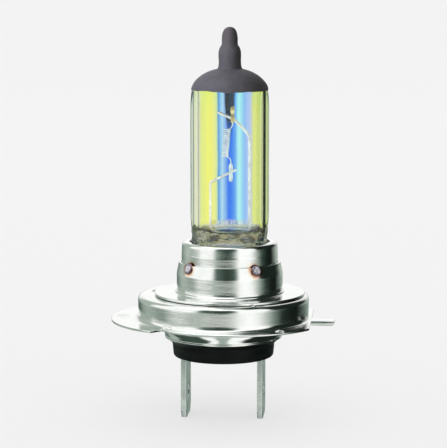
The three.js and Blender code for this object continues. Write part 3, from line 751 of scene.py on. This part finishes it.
def coat():
    dome = dome_line()
    inner, outer = offset(dome, 0.02 * MM), offset(dome, 0.08 * MM)

    def line_at(angle):
        """The line from the axis inside, round the rim and back to the axis outside."""
        drip = 0.06 * sin(2 * angle + 0.6) + 0.05 * sin(5 * angle) + 0.02 * sin(17 * angle)
        lower = np.array([(0, drip * MM)])
        fade = np.array([max(0.0, 1 - i / 4) for i in range(len(dome))])[:, None]
        around = Vector((cos(angle), sin(angle), 0))
        lumps = np.array([
            (0.035 * MM * noise.noise((around * r + Vector((0, 0, z))) * 900), 0) for r, z in outer])
        lumps[-1] = 0
        out = outer + lower * fade + lumps
        return np.concatenate([(inner + lower * fade)[::-1], out])

    obj = piece("coat_paint", *revolved(line_at, even_angles(), NECK_X), PAINT, 50)
    finish(obj, "antiglare_paint", "antiglare_coat")


# ---------------------------------------------------------------- filament and its supports
def filament_path():
    """Lower leg, coil and upper leg in one line."""
    lower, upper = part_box("leg_sleeve_lower"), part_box("leg_sleeve_upper")
    lower_leg, upper_leg = middle("leg_sleeve_lower").x, middle("leg_sleeve_upper").x
    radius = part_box("filament")[0].y * -1 - COIL_WIRE_R
    low, high = COIL_Z
    start = np.array((COIL_X[0] + radius, 0, low))
    end = np.array((COIL_X[1] + radius, 0, high))
    bottom_z, top_z = lower[0].z + 0.3 * MM, upper[1].z - 0.3 * MM
    into, out_of = lower[1].z, upper[0].z
    above = (lower_leg, 0, into + 0.25 * MM)
    path = bezier((lower_leg, 0, bottom_z), (lower_leg, 0, bottom_z), (lower_leg, 0, into), above, 10)
    path += bezier(above, (lower_leg, 0, low - 0.05 * MM),
                   (start[0] + 0.1 * MM, -0.35 * MM, low - 0.1 * MM), start, 10)[1:]
    steps = COIL_TURNS * STEPS_PER_TURN
    for i in range(1, steps):
        share = i / steps
        a = 2 * pi * COIL_TURNS * share
        centre = COIL_X[0] + (COIL_X[1] - COIL_X[0]) * share
        path.append(np.array((centre + radius * cos(a), radius * sin(a),
                              low + (high - low) * share)))
    path += bezier(end, (end[0], 0.3 * MM, high + 0.12 * MM),
                   (upper_leg, 0.1 * MM, high + 0.1 * MM), (upper_leg, 0, out_of + 0.1 * MM), 12)
    path += bezier((upper_leg, 0, out_of + 0.2 * MM), (upper_leg, 0, out_of + 0.5 * MM),
                   (upper_leg, 0, top_z), (upper_leg, 0, top_z), 8)
    return path


def filament():
    coil = wire("filament_coil", filament_path(), COIL_WIRE_R, TUNGSTEN, 8)
    finish(coil, "tungsten", "filament")


def leg_sleeve(node, material):
    """Crimped tube, thick in the middle of each of its two bands and pinched between them."""
    low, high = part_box(node)
    bore, pinched = 0.12 * MM, 0.18 * MM
    length, steps = high.z - low.z, 40
    line = [(bore, low.z)]
    for i in range(steps + 1):
        share = i / steps
        swell = abs(sin(pi * share * 2)) ** 0.7
        line.append((pinched + (half_width(node) - pinched) * swell, low.z + length * share))
    line.append((bore, high.z))
    obj = turned(node + "_tube", np.array(line), material, middle(node).x, angles=even_angles(32))
    finish(obj, "molybdenum", node)


def bent_path(corners):
    return resampled(rounded(corners, steps=8, unit=1.0), 0.25 * MM)


def leads():
    low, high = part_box("lead_wire_short")
    x, bottom, top = low.x + LEAD_R, low.z, high.z - LEAD_R
    behind = high.y - LEAD_R
    end = top - 0.38 * MM
    path = bent_path([
        (x, 0, bottom, 0), (x, 0, end - 1.8 * MM, 0.35 * MM), (high.x - LEAD_R, behind, end, 0)])
    finish(wire("short_lead", path, LEAD_R, MOLYBDENUM), "molybdenum", "lead_wire_short")
    low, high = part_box("lead_wire_long")
    x, bottom, top = high.x - LEAD_R, low.z, high.z - LEAD_R - 0.3 * MM
    behind = high.y - LEAD_R
    path = bent_path([
        (x, 0, bottom, 0), (x, 0, top - 3.3 * MM, 1.6 * MM),
        (x - 1.2 * MM, behind * 0.6, top - 1.95 * MM, 1.5 * MM),
        (x - 2.4 * MM, behind, top - 0.95 * MM, 1.0 * MM), (low.x + LEAD_R, behind, top, 0)])
    finish(wire("long_lead", path, LEAD_R, MOLYBDENUM), "molybdenum", "lead_wire_long")


def outer_leads():
    for word, side in (("left", -1), ("right", 1)):
        node = "outer_lead_" + word
        low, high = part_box(node)
        inner = (high.x if side < 0 else low.x) + side * LEAD_R
        outer = (low.x if side < 0 else high.x) - side * LEAD_R
        path = bent_path([
            (inner, 0, high.z, 0), (inner, 0, GLASS_BOTTOM - 0.5 * MM, 0.7 * MM),
            (outer, 0, 0.5 * MM, 0.7 * MM), (outer, 0, low.z, 0)])
        finish(wire(node + "_wire", path, LEAD_R, MOLYBDENUM), "molybdenum", node)


def foils():
    """Thin foils, etched to a feather edge on both sides and slightly wavy."""
    for word in ("left", "right"):
        node = "seal_foil_" + word
        low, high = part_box(node)
        centre = (low + high) / 2
        half_w, half_t = (high.x - low.x) / 2, (high.y - low.y) / 2
        across, along = 16, 24
        vertices = []
        for i in range(along + 1):
            z = low.z + (high.z - low.z) * i / along
            for k in range(2 * across):
                share = k / across if k < across else 2 - k / across
                s = 2 * share - 1
                thick = half_t * (1 - abs(s) ** 3 * 0.9) * (1 if k < across else -1)
                wave = 0.3 * half_t * sin(5 * s + i * 0.7)
                vertices.append((centre.x + half_w * s, centre.y + thick + wave, z))
        ring = 2 * across
        faces = [[b, a, d, c] for a, b, c, d in quads(along + 1, ring)]
        faces.append(list(range(ring)))
        faces.append([along * ring + k for k in reversed(range(ring))])
        obj = piece(node + "_sheet", vertices, faces, MOLYBDENUM)
        finish(obj, "molybdenum", node)


# ---------------------------------------------------------------- collar, clip and focusing sleeve
def collar():
    r, bottom, top = round_sizes("collar")
    t = SHEET / MM
    roll_end = r - 1.2
    line = rounded([
        (r, bottom, 0.05), (r - 0.035, top - 1.75, 0.3), (r - 0.05, top - 1.6, 0.3), (r - 0.12, top, 0.85),
        (roll_end, top, 0.12), (roll_end, top - t, 0.1), (r - t - 0.12, top - t, 0.6),
        (r - t - 0.03, top - 1.6, 0.3), (r - t, top - 1.75, 0.3), (r - t, bottom, 0.05)],
        closed=True, steps=10)
    obj = turned("collar_sheet", line, SLEEVE_STEEL, NECK_X)
    finish(obj, "stainless_steel", "collar")


CLIP_HOLE = (5.46 * MM, 1.86 * MM)   # half the width and half the height of its hole for the seal
LEAF_REACH = 2.9 * MM            # half the width of its leaves


def press_clip():
    """Spring plate round the press seal, with a leaf on each flat of the seal."""
    low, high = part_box("press_clip")
    radius = (high.x - low.x) / 2
    t = SHEET
    seal_w, seal_t = CLIP_HOLE
    top, bottom = high.z, high.z - t

    def hole(angle):
        flat = (abs(cos(angle)) / seal_w) ** 8 + (abs(sin(angle)) / seal_t) ** 8
        return flat ** (-1 / 8)

    def line_at(angle):
        near = hole(angle)
        return np.array([(near, bottom), (radius - 0.05 * MM, bottom), (radius, bottom + 0.05 * MM),
                         (radius, top - 0.05 * MM), (radius - 0.05 * MM, top), (near, top)])

    parts = [revolved(line_at, even_angles(), NECK_X, closed=True)]
    for side in (-1, 1):
        near, far = side * (seal_t + 0.02 * MM), side * (seal_t + 0.02 * MM + t)
        outline = [(near, bottom + 0.02 * MM), (far, bottom + 0.02 * MM), (far, low.z), (near, low.z)]
        places = np.linspace(NECK_X - LEAF_REACH, NECK_X + LEAF_REACH, 9)
        vertices = [(x, y, z) for x in places for y, z in outline]
        faces = [*quads(9, 4), (3, 2, 1, 0), (32, 33, 34, 35)]
        parts.append((vertices, faces if side < 0 else [face[::-1] for face in faces]))
    obj = piece("press_clip_plate", *joined(parts), SLEEVE_STEEL, 30)
    finish(obj, "stainless_steel", "press_clip")


def focus_sleeve():
    disc_r, bottom, rim = round_sizes("focus_sleeve")
    t = SHEET / MM
    disc_top = bottom + 0.35
    wall, shoulder_bottom, neck = 7.65, 6.3, half_width("collar") / MM + 0.05
    line = rounded([
        (wall - t, bottom, 0.05), (disc_r, bottom, 0.12), (disc_r, disc_top, 0.14),
        (wall + 0.28, disc_top, 0.12), (wall + 0.2, disc_top + 0.16, 0.1),
        (wall, disc_top + 0.34, 0.16), (wall, shoulder_bottom, 0.7),
        (neck + t + 0.05, rim, 0.09), (neck, rim, 0.05), (neck, rim - 0.4, 0.1),
        (wall - t, 6.2, 0.5)],
        closed=True, steps=8)
    obj = turned("focus_sleeve_sheet", line, SLEEVE_STEEL, NECK_X, sharp_above=35)
    finish(obj, "stainless_steel", "focus_sleeve")


def weld_button(node, radius, height, seat, tilt, turn):
    """Low button with a raised rim and a rough dished middle, placed on its seat."""
    rings, spokes = 26, 64
    vertices = [(0, 0, height * 0.62)]
    for i in range(1, rings + 1):
        share = i / rings
        for k in range(spokes):
            a = 2 * pi * k / spokes
            lump = noise.noise(Vector((3 * share * cos(a) + turn, 3 * share * sin(a), tilt)))
            r = radius * share * (1 + 0.07 * sin(3 * a + turn) * share)
            rim = 0.5 * exp(-((share - 0.74) / 0.16) ** 2)
            dish = 0.42 + rim + 0.22 * exp(-(share / 0.3) ** 2)
            h = height * (dish * (1 - smoothstep(0.86, 1.0, share)) + 0.22 * lump * (1 - share ** 4))
            vertices.append((r * cos(a), r * sin(a), max(h, 0.02 * height) if share < 1 else 0))
    faces = [(0, 1 + k, 1 + (k + 1) % spokes) for k in range(spokes)]
    faces += [(a, d, c, b) for a, b, c, d in quads(rings, spokes, 1)]
    faces.append([1 + (rings - 1) * spokes + k for k in reversed(range(spokes))])
    obj = piece(node + "_button", vertices, faces, WELD_METAL, 60)
    aimed = Matrix.Rotation(turn, 4, "Z") @ Matrix.Rotation(tilt, 4, "Y")
    obj.matrix_world = Matrix.Translation(seat) @ aimed
    finish(obj, "weld_metal", node)


def welds():
    for node in NECK_WELDS:
        centre = middle(node)
        out = Vector((centre.x - NECK_X, centre.y, 0))
        turn = atan2(out.y, out.x)
        seat = Vector((NECK_X, 0, centre.z)) + out.normalized() * (out.length - 0.02 * MM)
        weld_button(node, WELD_R, WELD_HEIGHT, seat, pi / 2 - WELD_SLOPE, turn)
    for i in range(1, 4):
        node = f"flange_weld_{i}"
        seat = middle(node)
        seat.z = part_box(node)[0].z - 0.03 * MM
        weld_button(node, SPOT_R, SPOT_HEIGHT, seat, 0.0, 0.7 * i)


# ---------------------------------------------------------------- base ring with plate and key
PLATE_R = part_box("base_ring")[1].y
PLATE_CENTRE_X = 1.2 * MM
PLATE_FLAT_X = 12.75 * MM
TONGUE_CENTRE_X = -2.85 * MM
TONGUE_R = TONGUE_CENTRE_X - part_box("base_ring")[0].x
KEY_END_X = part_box("base_ring")[1].x
RING_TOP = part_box("base_ring")[1].z
RING_R = 12.35 * MM
RING_EDGE = 0.7 * MM
PLATE_TOP, PLATE_T = -0.3 * MM, 0.3 * MM
TONGUE_HALF = radians(52.7)
NOTCH_END = radians(59)
NOTCH_SLOPE = radians(0.8)


def reach_of(centre_x, radius, angle):
    """Distance from the base axis to a circle whose centre is on the X axis."""
    along = centre_x * cos(angle)
    return along + sqrt(along ** 2 - centre_x ** 2 + radius ** 2)


def plate_edge(angle):
    """Distance from the base axis to the plate's edge."""
    from_tongue = abs(pi - angle % (2 * pi))
    general = reach_of(PLATE_CENTRE_X, PLATE_R, angle)
    if cos(angle) > 0:
        return min(general, PLATE_FLAT_X / cos(angle))
    tongue = reach_of(TONGUE_CENTRE_X, TONGUE_R, angle)
    notch = RING_R + RING_EDGE - 0.1 * MM
    into = smoothstep(TONGUE_HALF - NOTCH_SLOPE, TONGUE_HALF, from_tongue)
    out_of = smoothstep(NOTCH_END - NOTCH_SLOPE, NOTCH_END, from_tongue)
    return (tongue * (1 - into) + notch * into) * (1 - out_of) + general * out_of


WALL_LEAN = 0.035                # millimetres that the ring wall draws in towards the plate
ROUND = 0.07                     # millimetres that the plate's edge is rounded
TOP_STARTS, WALL_STARTS = 36, 45 # points of base_line before its flat top and before its wall


def base_line(angle):
    reach = plate_edge(angle)
    r, top, t = RING_R / MM, RING_TOP / MM, 0.35
    edge, low, high = RING_EDGE / MM, (PLATE_TOP - PLATE_T) / MM, PLATE_TOP / MM
    hole = 9.0
    inside = rounded([
        (reach / MM - ROUND, low, 0), (r - t, low, 0.15), (r - t, top - t, edge - t), (hole, top - t, 0.05),
        (hole, top, 0.1), (r, top, edge), (r - WALL_LEAN, high, edge), (reach / MM - ROUND, high, 0)],
        steps=8)
    inside[:, 0] = np.minimum(inside[:, 0], reach)
    for after in (len(inside) - 2, WALL_STARTS, TOP_STARTS):
        inside = divided(inside, after, 9)
    rim = rounded([
        (reach / MM - ROUND, high, 0), (reach / MM, high - ROUND, 0), (reach / MM, low + ROUND, 0),
        (reach / MM - ROUND, low, 0)])
    return np.concatenate([inside, rim[1:-1]])


def bevelled(outline, depth, bevel, name):
    """A flat plate with rounded edges from closed outlines in its own XY plane, the first one outside."""
    curve = bpy.data.curves.new(name, "CURVE")
    curve.dimensions = "2D"
    curve.fill_mode = "BOTH"
    curve.extrude = depth / 2 - bevel
    curve.bevel_depth = bevel
    curve.bevel_resolution = 3
    curve.offset = -bevel
    for points in outline:
        spline = curve.splines.new("POLY")
        spline.points.add(len(points) - 1)
        for target, (x, y) in zip(spline.points, points):
            target.co = (x, y, 0, 1)
        spline.use_cyclic_u = True
    holder = linked(name, curve)
    mesh = evaluated(holder)
    bpy.data.objects.remove(holder)
    bpy.data.curves.remove(curve)
    merged(mesh)
    return mesh


def merged(mesh, distance=1e-6):
    work = bmesh.new()
    work.from_mesh(mesh)
    bmesh.ops.remove_doubles(work, verts=work.verts, dist=distance)
    bmesh.ops.recalc_face_normals(work, faces=work.faces)
    work.to_mesh(mesh)
    work.free()


def mesh_lists(mesh):
    return [v.co.copy() for v in mesh.vertices], [list(p.vertices) for p in mesh.polygons]


def key():
    """Locating key: a thick tab that starts inside the wall, chamfered under its tip."""
    start, end, width, bevel = RING_R - 0.25 * MM, KEY_END_X, 2.9 * MM, 0.12 * MM
    low, high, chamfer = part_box("base_ring")[0].z, -0.4 * MM, 0.35 * MM
    outline = [(start, low), (end - chamfer, low), (end, low + chamfer), (end, high), (start, high)]
    mesh = bevelled([outline], width, bevel, "key")
    mesh.transform(Matrix.Rotation(pi / 2, 4, "X"))
    return mesh_lists(mesh)


BOSSES = [(14.6, 180, 1.4 * MM), (13.75, 50, 1.0 * MM), (13.75, -50, 1.0 * MM)]


def boss(radius_mm, turn, width):
    """Embossed seating boss: a low round dome that rises out of the plate."""
    line = [(0, PLATE_TOP - 0.1 * MM), (width, PLATE_TOP - 0.1 * MM)]
    for i in range(25):
        share = 1 - i / 24
        rise = 0.5 + 0.5 * cos(pi * share)
        line.append((width * share, PLATE_TOP * (1 - rise) - 0.01 * MM * (1 - rise)))
    vertices, faces = revolved(lambda _: line, even_angles(64))
    a = radians(turn)
    out_x, out_y = radius_mm * MM * cos(a), radius_mm * MM * sin(a)
    return [(x + out_x, y + out_y, z) for x, y, z in vertices], faces


def base_ring():
    angles = even_angles(480)
    for mark in (TONGUE_HALF, NOTCH_END):
        for side in (-1, 1):
            angles += [pi + side * (mark - NOTCH_SLOPE * k / 6) for k in range(7)]
    corner = acos((PLATE_FLAT_X - PLATE_CENTRE_X) / PLATE_R)
    corner = atan2(PLATE_R * sin(corner), PLATE_FLAT_X)
    angles += [corner, 2 * pi - corner]
    angles = sorted({round(a % (2 * pi), 6) for a in angles})
    parts = [revolved(base_line, angles, 0.0, closed=True), key()]
    parts += [boss(*place) for place in BOSSES]
    obj = piece("base_ring_sheet", *joined(parts), RING_STEEL, 35)
    finish(obj, "stainless_steel", "base_ring")


# ---------------------------------------------------------------- retaining bowl, insulator and blades
def retaining_bowl():
    flange, lip, top = round_sizes("retaining_bowl")
    under = top - 0.3
    line = rounded([
        (8.15, lip, 0.05), (8.45, lip, 0.1), (8.52, lip + 0.16, 0.1), (8.4, lip + 0.36, 0.1),
        (8.9, lip + 1.25, 1.4), (8.9, under, 0.35), (flange, under, 0.1), (flange, top, 0.1),
        (8.65, top, 0.35), (8.65, lip + 1.3, 1.4), (8.15, lip + 0.4, 0.1)], closed=True, steps=8)
    obj = turned("retaining_bowl_sheet", line, RING_STEEL)
    finish(obj, "stainless_steel", "retaining_bowl")


def without(obj, cutters):
    """Cuts closed meshes out of an object and leaves a plain mesh."""
    for cutter in cutters:
        cut = obj.modifiers.new("cut", "BOOLEAN")
        cut.operation = "DIFFERENCE"
        cut.solver = "EXACT"
        cut.object = cutter
    mesh = evaluated(obj)
    obj.modifiers.clear()
    old = obj.data
    obj.data = mesh
    bpy.data.meshes.remove(old)
    for cutter in cutters:
        bpy.data.objects.remove(cutter)


def block(name, low, high, flare=0.0):
    """Closed block, wider by flare at its bottom."""
    vertices = []
    for z, grow in ((low.z, flare), (high.z, 0.0)):
        for x, y in ((low.x - grow, low.y - grow), (high.x + grow, low.y - grow),
                     (high.x + grow, high.y + grow), (low.x - grow, high.y + grow)):
            vertices.append((x, y, z))
    faces = [[3, 2, 1, 0], [4, 5, 6, 7], [0, 1, 5, 4], [1, 2, 6, 5], [2, 3, 7, 6], [3, 0, 4, 7]]
    return piece(name, vertices, faces, PLASTIC)


MOUTH = 0.5 * MM                 # flare of the slots at the insulator's underside


def insulator():
    low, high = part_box("insulator")
    shoulder, bottom, top = round_sizes("insulator")
    _, lip, _ = round_sizes("retaining_bowl")
    line = rounded([
        (0, bottom + 0.06, 0), (5.2, bottom + 0.06, 0.3), (5.6, bottom, 0.3), (7.22, bottom, 0.42),
        (7.4, lip - 0.8, 0.4), (shoulder, lip - 0.1, 0.12), (shoulder, lip - 0.02, 0.02),
        (8.05, lip - 0.02, 0.05), (8.05, top, 0.2), (0, top, 0)], steps=8)
    obj = turned("insulator_body", line, PLASTIC, closed=False, sharp_above=35)
    gap = Vector((0.04, 0.04, 0)) * MM
    cutters = []
    for word in ("left", "right"):
        blade_low, blade_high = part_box("blade_" + word)
        start = Vector((blade_low.x, blade_low.y, low.z - 1 * MM)) - gap
        end = Vector((blade_high.x, blade_high.y, high.z + 1 * MM)) + gap
        cutters.append(block("slot_" + word, start, end))
        mouth_low = Vector((start.x, start.y, low.z - MOUTH / 2))
        mouth_high = Vector((end.x, end.y, low.z + MOUTH / 2))
        cutters.append(block("mouth_" + word, mouth_low, mouth_high, MOUTH))
    without(obj, cutters)
    obj.data.shade_smooth()
    obj.data.set_sharp_from_angle(angle=radians(35))
    finish(obj, "insulator_plastic", "insulator")


def circle(centre_y, radius, count=48):
    return [(radius * cos(a), centre_y + radius * sin(a)) for a in even_angles(count)][::-1]


def blades():
    """Contact blades with a lead-in at the tip, a detent hole and rounded stamped edges."""
    insulator_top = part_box("insulator")[1].z
    for word in ("left", "right"):
        node = "blade_" + word
        low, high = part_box(node)
        half, thick = high.y, high.x - low.x
        chamfer, lead_in, shoulder, tab = 0.8 * MM, 1.28 * MM, insulator_top - 0.1 * MM, 1.3 * MM
        corners = [
            (-half + chamfer, low.z, 0.2), (half - chamfer, low.z, 0.2), (half, low.z + lead_in, 0.3),
            (half, shoulder, 0.05), (tab, shoulder, 0.2), (tab, high.z, 0.1), (-tab, high.z, 0.1),
            (-tab, shoulder, 0.2), (-half, shoulder, 0.05), (-half, low.z + lead_in, 0.3)]
        corners = [(x / MM, y / MM, r) for x, y, r in corners]
        outline = rounded(corners, closed=True, steps=6)
        hole_z, hole_r, bevel = low.z + 3.75 * MM, 0.9 * MM, 0.09 * MM
        mesh = bevelled([outline, circle(hole_z, hole_r)], thick, bevel, node)
        mesh.transform(Matrix.Rotation(pi / 2, 4, "X"))
        mesh.transform(Matrix.Rotation(pi / 2, 4, "Z"))
        mesh.transform(Matrix.Translation(((low.x + high.x) / 2, 0, 0)))
        finish(placed(node + "_strip", mesh, TINNED, 35), "tinned_blade", node)


# ---------------------------------------------------------------- stage
FLOOR_GLOW = 0.65                # light from under the translucent table top


def floor():
    """Pale sweep: a flat floor that curves up into a wall far behind the object."""
    level = cad_low.z - 0.02 * MM
    line = [(0, level), (0.02, level), (0.05, level), (0.12, level), (0.3, level), (0.6, level)]
    line += [(0.6 + 0.9 * sin(a), level + 0.9 * (1 - cos(a))) for a in np.linspace(0.1, 1.5, 12)]
    f = Finish("pale_floor", Specular_IOR_Level=0.1)
    paper = f.noise(f.place, 0.35, 4.0)
    colour = f.mix(f.step(paper, 0.3, 0.7), (0.245, 0.245, 0.245), (0.255, 0.255, 0.255))
    rough = f.step(paper, 0.3, 0.7, 0.85, 0.95)
    f.surface(colour, rough, paper, 0.02 * MM)
    f.set(Emission_Color=(1.0, 1.0, 1.0, 1.0), Emission_Strength=FLOOR_GLOW)
    obj = piece("floor_sweep", *revolved(lambda _: line, even_angles(96)), f.material)
    obj.visible_glossy = False
    obj.visible_shadow = False


# Brightness of the studio by the angle round from the camera, in degrees. Soft boxes stand at the left
# and at the right front and a black flag at the right. One row for each height: far below the horizon,
# a little below it, just under it, above it, and overhead.
UNDER_ROUND = [
    (-180, 0.5), (-128, 0.5), (-122, 0.08), (-50, 0.08), (-43, 1.1), (-21, 1.1), (-15, 0.45), (12, 0.45),
    (18, 1.15), (57, 1.15), (64, 0.02), (150, 0.02), (180, 0.5),
]
LOW_ROUND = [
    (-180, 0.5), (-172, 0.3), (-163, 0.12), (-150, 0.1), (-138, 0.33), (-125, 0.42), (-107, 0.4),
    (-91, 0.27), (-80, 0.42), (-69, 0.6), (-58, 0.58), (-46, 0.4), (-36, 0.5), (-25, 0.72), (-8, 0.72),
    (3, 0.74), (13, 0.82), (24, 1.05), (35, 1.15), (46, 1.0), (58, 0.64), (70, 0.26), (84, 0.02),
    (116, 0.012), (141, 0.1), (160, 0.35), (180, 0.5),
]
MIDDLE_ROUND = [
    (-180, 0.3), (-157, 0.28), (-122, 0.57), (-102, 0.48), (-84, 0.67), (-70, 1.15), (-43, 1.1),
    (-31, 0.42), (-19, 0.14), (-7, 0.055), (5, 0.18), (16, 0.8), (21, 1.18), (50, 1.18), (67, 0.5),
    (81, 0.09), (98, 0.017), (118, 0.01), (147, 0.5), (180, 0.5),
]
HIGH_ROUND = [
    (-180, 1.1), (-164, 1.0), (-150, 0.5), (-116, 0.5), (-110, 1.12), (-40, 1.12), (-32, 0.16), (-8, 0.055),
    (8, 0.08), (15, 0.25), (21, 1.18), (62, 1.18), (69, 0.02), (140, 0.02), (158, 0.9), (180, 1.1),
]
TOP_ROUND = [(-180, 0.3), (-165, 1.45), (35, 1.45), (60, 0.06), (165, 0.06), (180, 0.3)]
BAR_RISE, BAR_MIDDLE = -9.2, -70 # height of a thin dark bar, and its place round the camera, in degrees


def cast(level):
    """Grey of a brightness, greener the darker it is."""
    gap = max(0.0, 1 - level)
    return level * max(0.66, 1 - 0.5 * gap ** 2), level, level * max(0.72, 1 - 0.2 * gap)


def studio():
    world = bpy.data.worlds.new("studio")
    bpy.context.scene.world = world
    world.use_nodes = True
    t = Tree(world.node_tree)
    x, y, z = t.split(t.add("TexCoord").outputs["Generated"])
    sine, cosine = sin(VIEW_AZIMUTH), cos(VIEW_AZIMUTH)
    right = t.plus(t.times(x, cosine), t.times(y, sine))
    front = t.minus(t.times(x, sine), t.times(y, cosine))
    share = t.maths("MULTIPLY_ADD", t.maths("ARCTAN2", right, front), 0.5 / pi, 0.5)
    rise = t.maths("ARCSINE", z)

    def round_ramp(stops):
        return t.ramp(share, [((angle + 180) / 360, cast(level)) for angle, level in stops])

    def blend(low, high, below, above):
        return t.mix(t.step(rise, radians(low), radians(high)), below, above)

    colour = blend(-10.8, -8.2, round_ramp(LOW_ROUND), round_ramp(MIDDLE_ROUND))
    colour = blend(-2, 2, colour, round_ramp(HIGH_ROUND))
    colour = blend(45, 62, colour, round_ramp(TOP_ROUND))
    colour = blend(-17, -34, colour, round_ramp(UNDER_ROUND))
    # Thin dark bar in front of the left soft box.
    from_bar = t.apart(rise, radians(BAR_RISE))
    bar = t.step(from_bar, radians(0.2), radians(0.5), 0.85, 0.0)
    from_middle = t.apart(share, (BAR_MIDDLE + 180) / 360)
    bar = t.times(bar, t.step(from_middle, 28 / 360, 36 / 360, 1.0, 0.0))
    colour = t.mix(bar, colour, (0.05, 0.06, 0.05))
    background = world.node_tree.nodes["Background"]
    t.feed(background.inputs["Color"], colour)
    background.inputs["Strength"].default_value = 1.0


def camera():
    data = bpy.data.cameras.new("camera")
    obj = linked("camera", data)
    data.lens, data.sensor_width = LENS, SENSOR
    data.clip_start, data.clip_end = 0.01, 10
    place = Vector((sin(VIEW_AZIMUTH), -cos(VIEW_AZIMUTH), 0)) * VIEW_DISTANCE
    place.z = VIEW_RISE
    aim = Vector((0, 0, AIM_HEIGHT))
    obj.location = place
    obj.rotation_mode = "QUATERNION"
    obj.rotation_quaternion = (aim - place).to_track_quat("-Z", "Y")
    bpy.context.scene.camera = obj


# ---------------------------------------------------------------- build
envelope()
coat()
filament()
leg_sleeve("leg_sleeve_lower", MOLYBDENUM)
leg_sleeve("leg_sleeve_upper", GILT)
leads()
outer_leads()
foils()
collar()
press_clip()
focus_sleeve()
welds()
base_ring()
retaining_bowl()
insulator()
blades()
floor()
studio()
camera()
bpy.context.scene.view_settings.view_transform = "Standard"
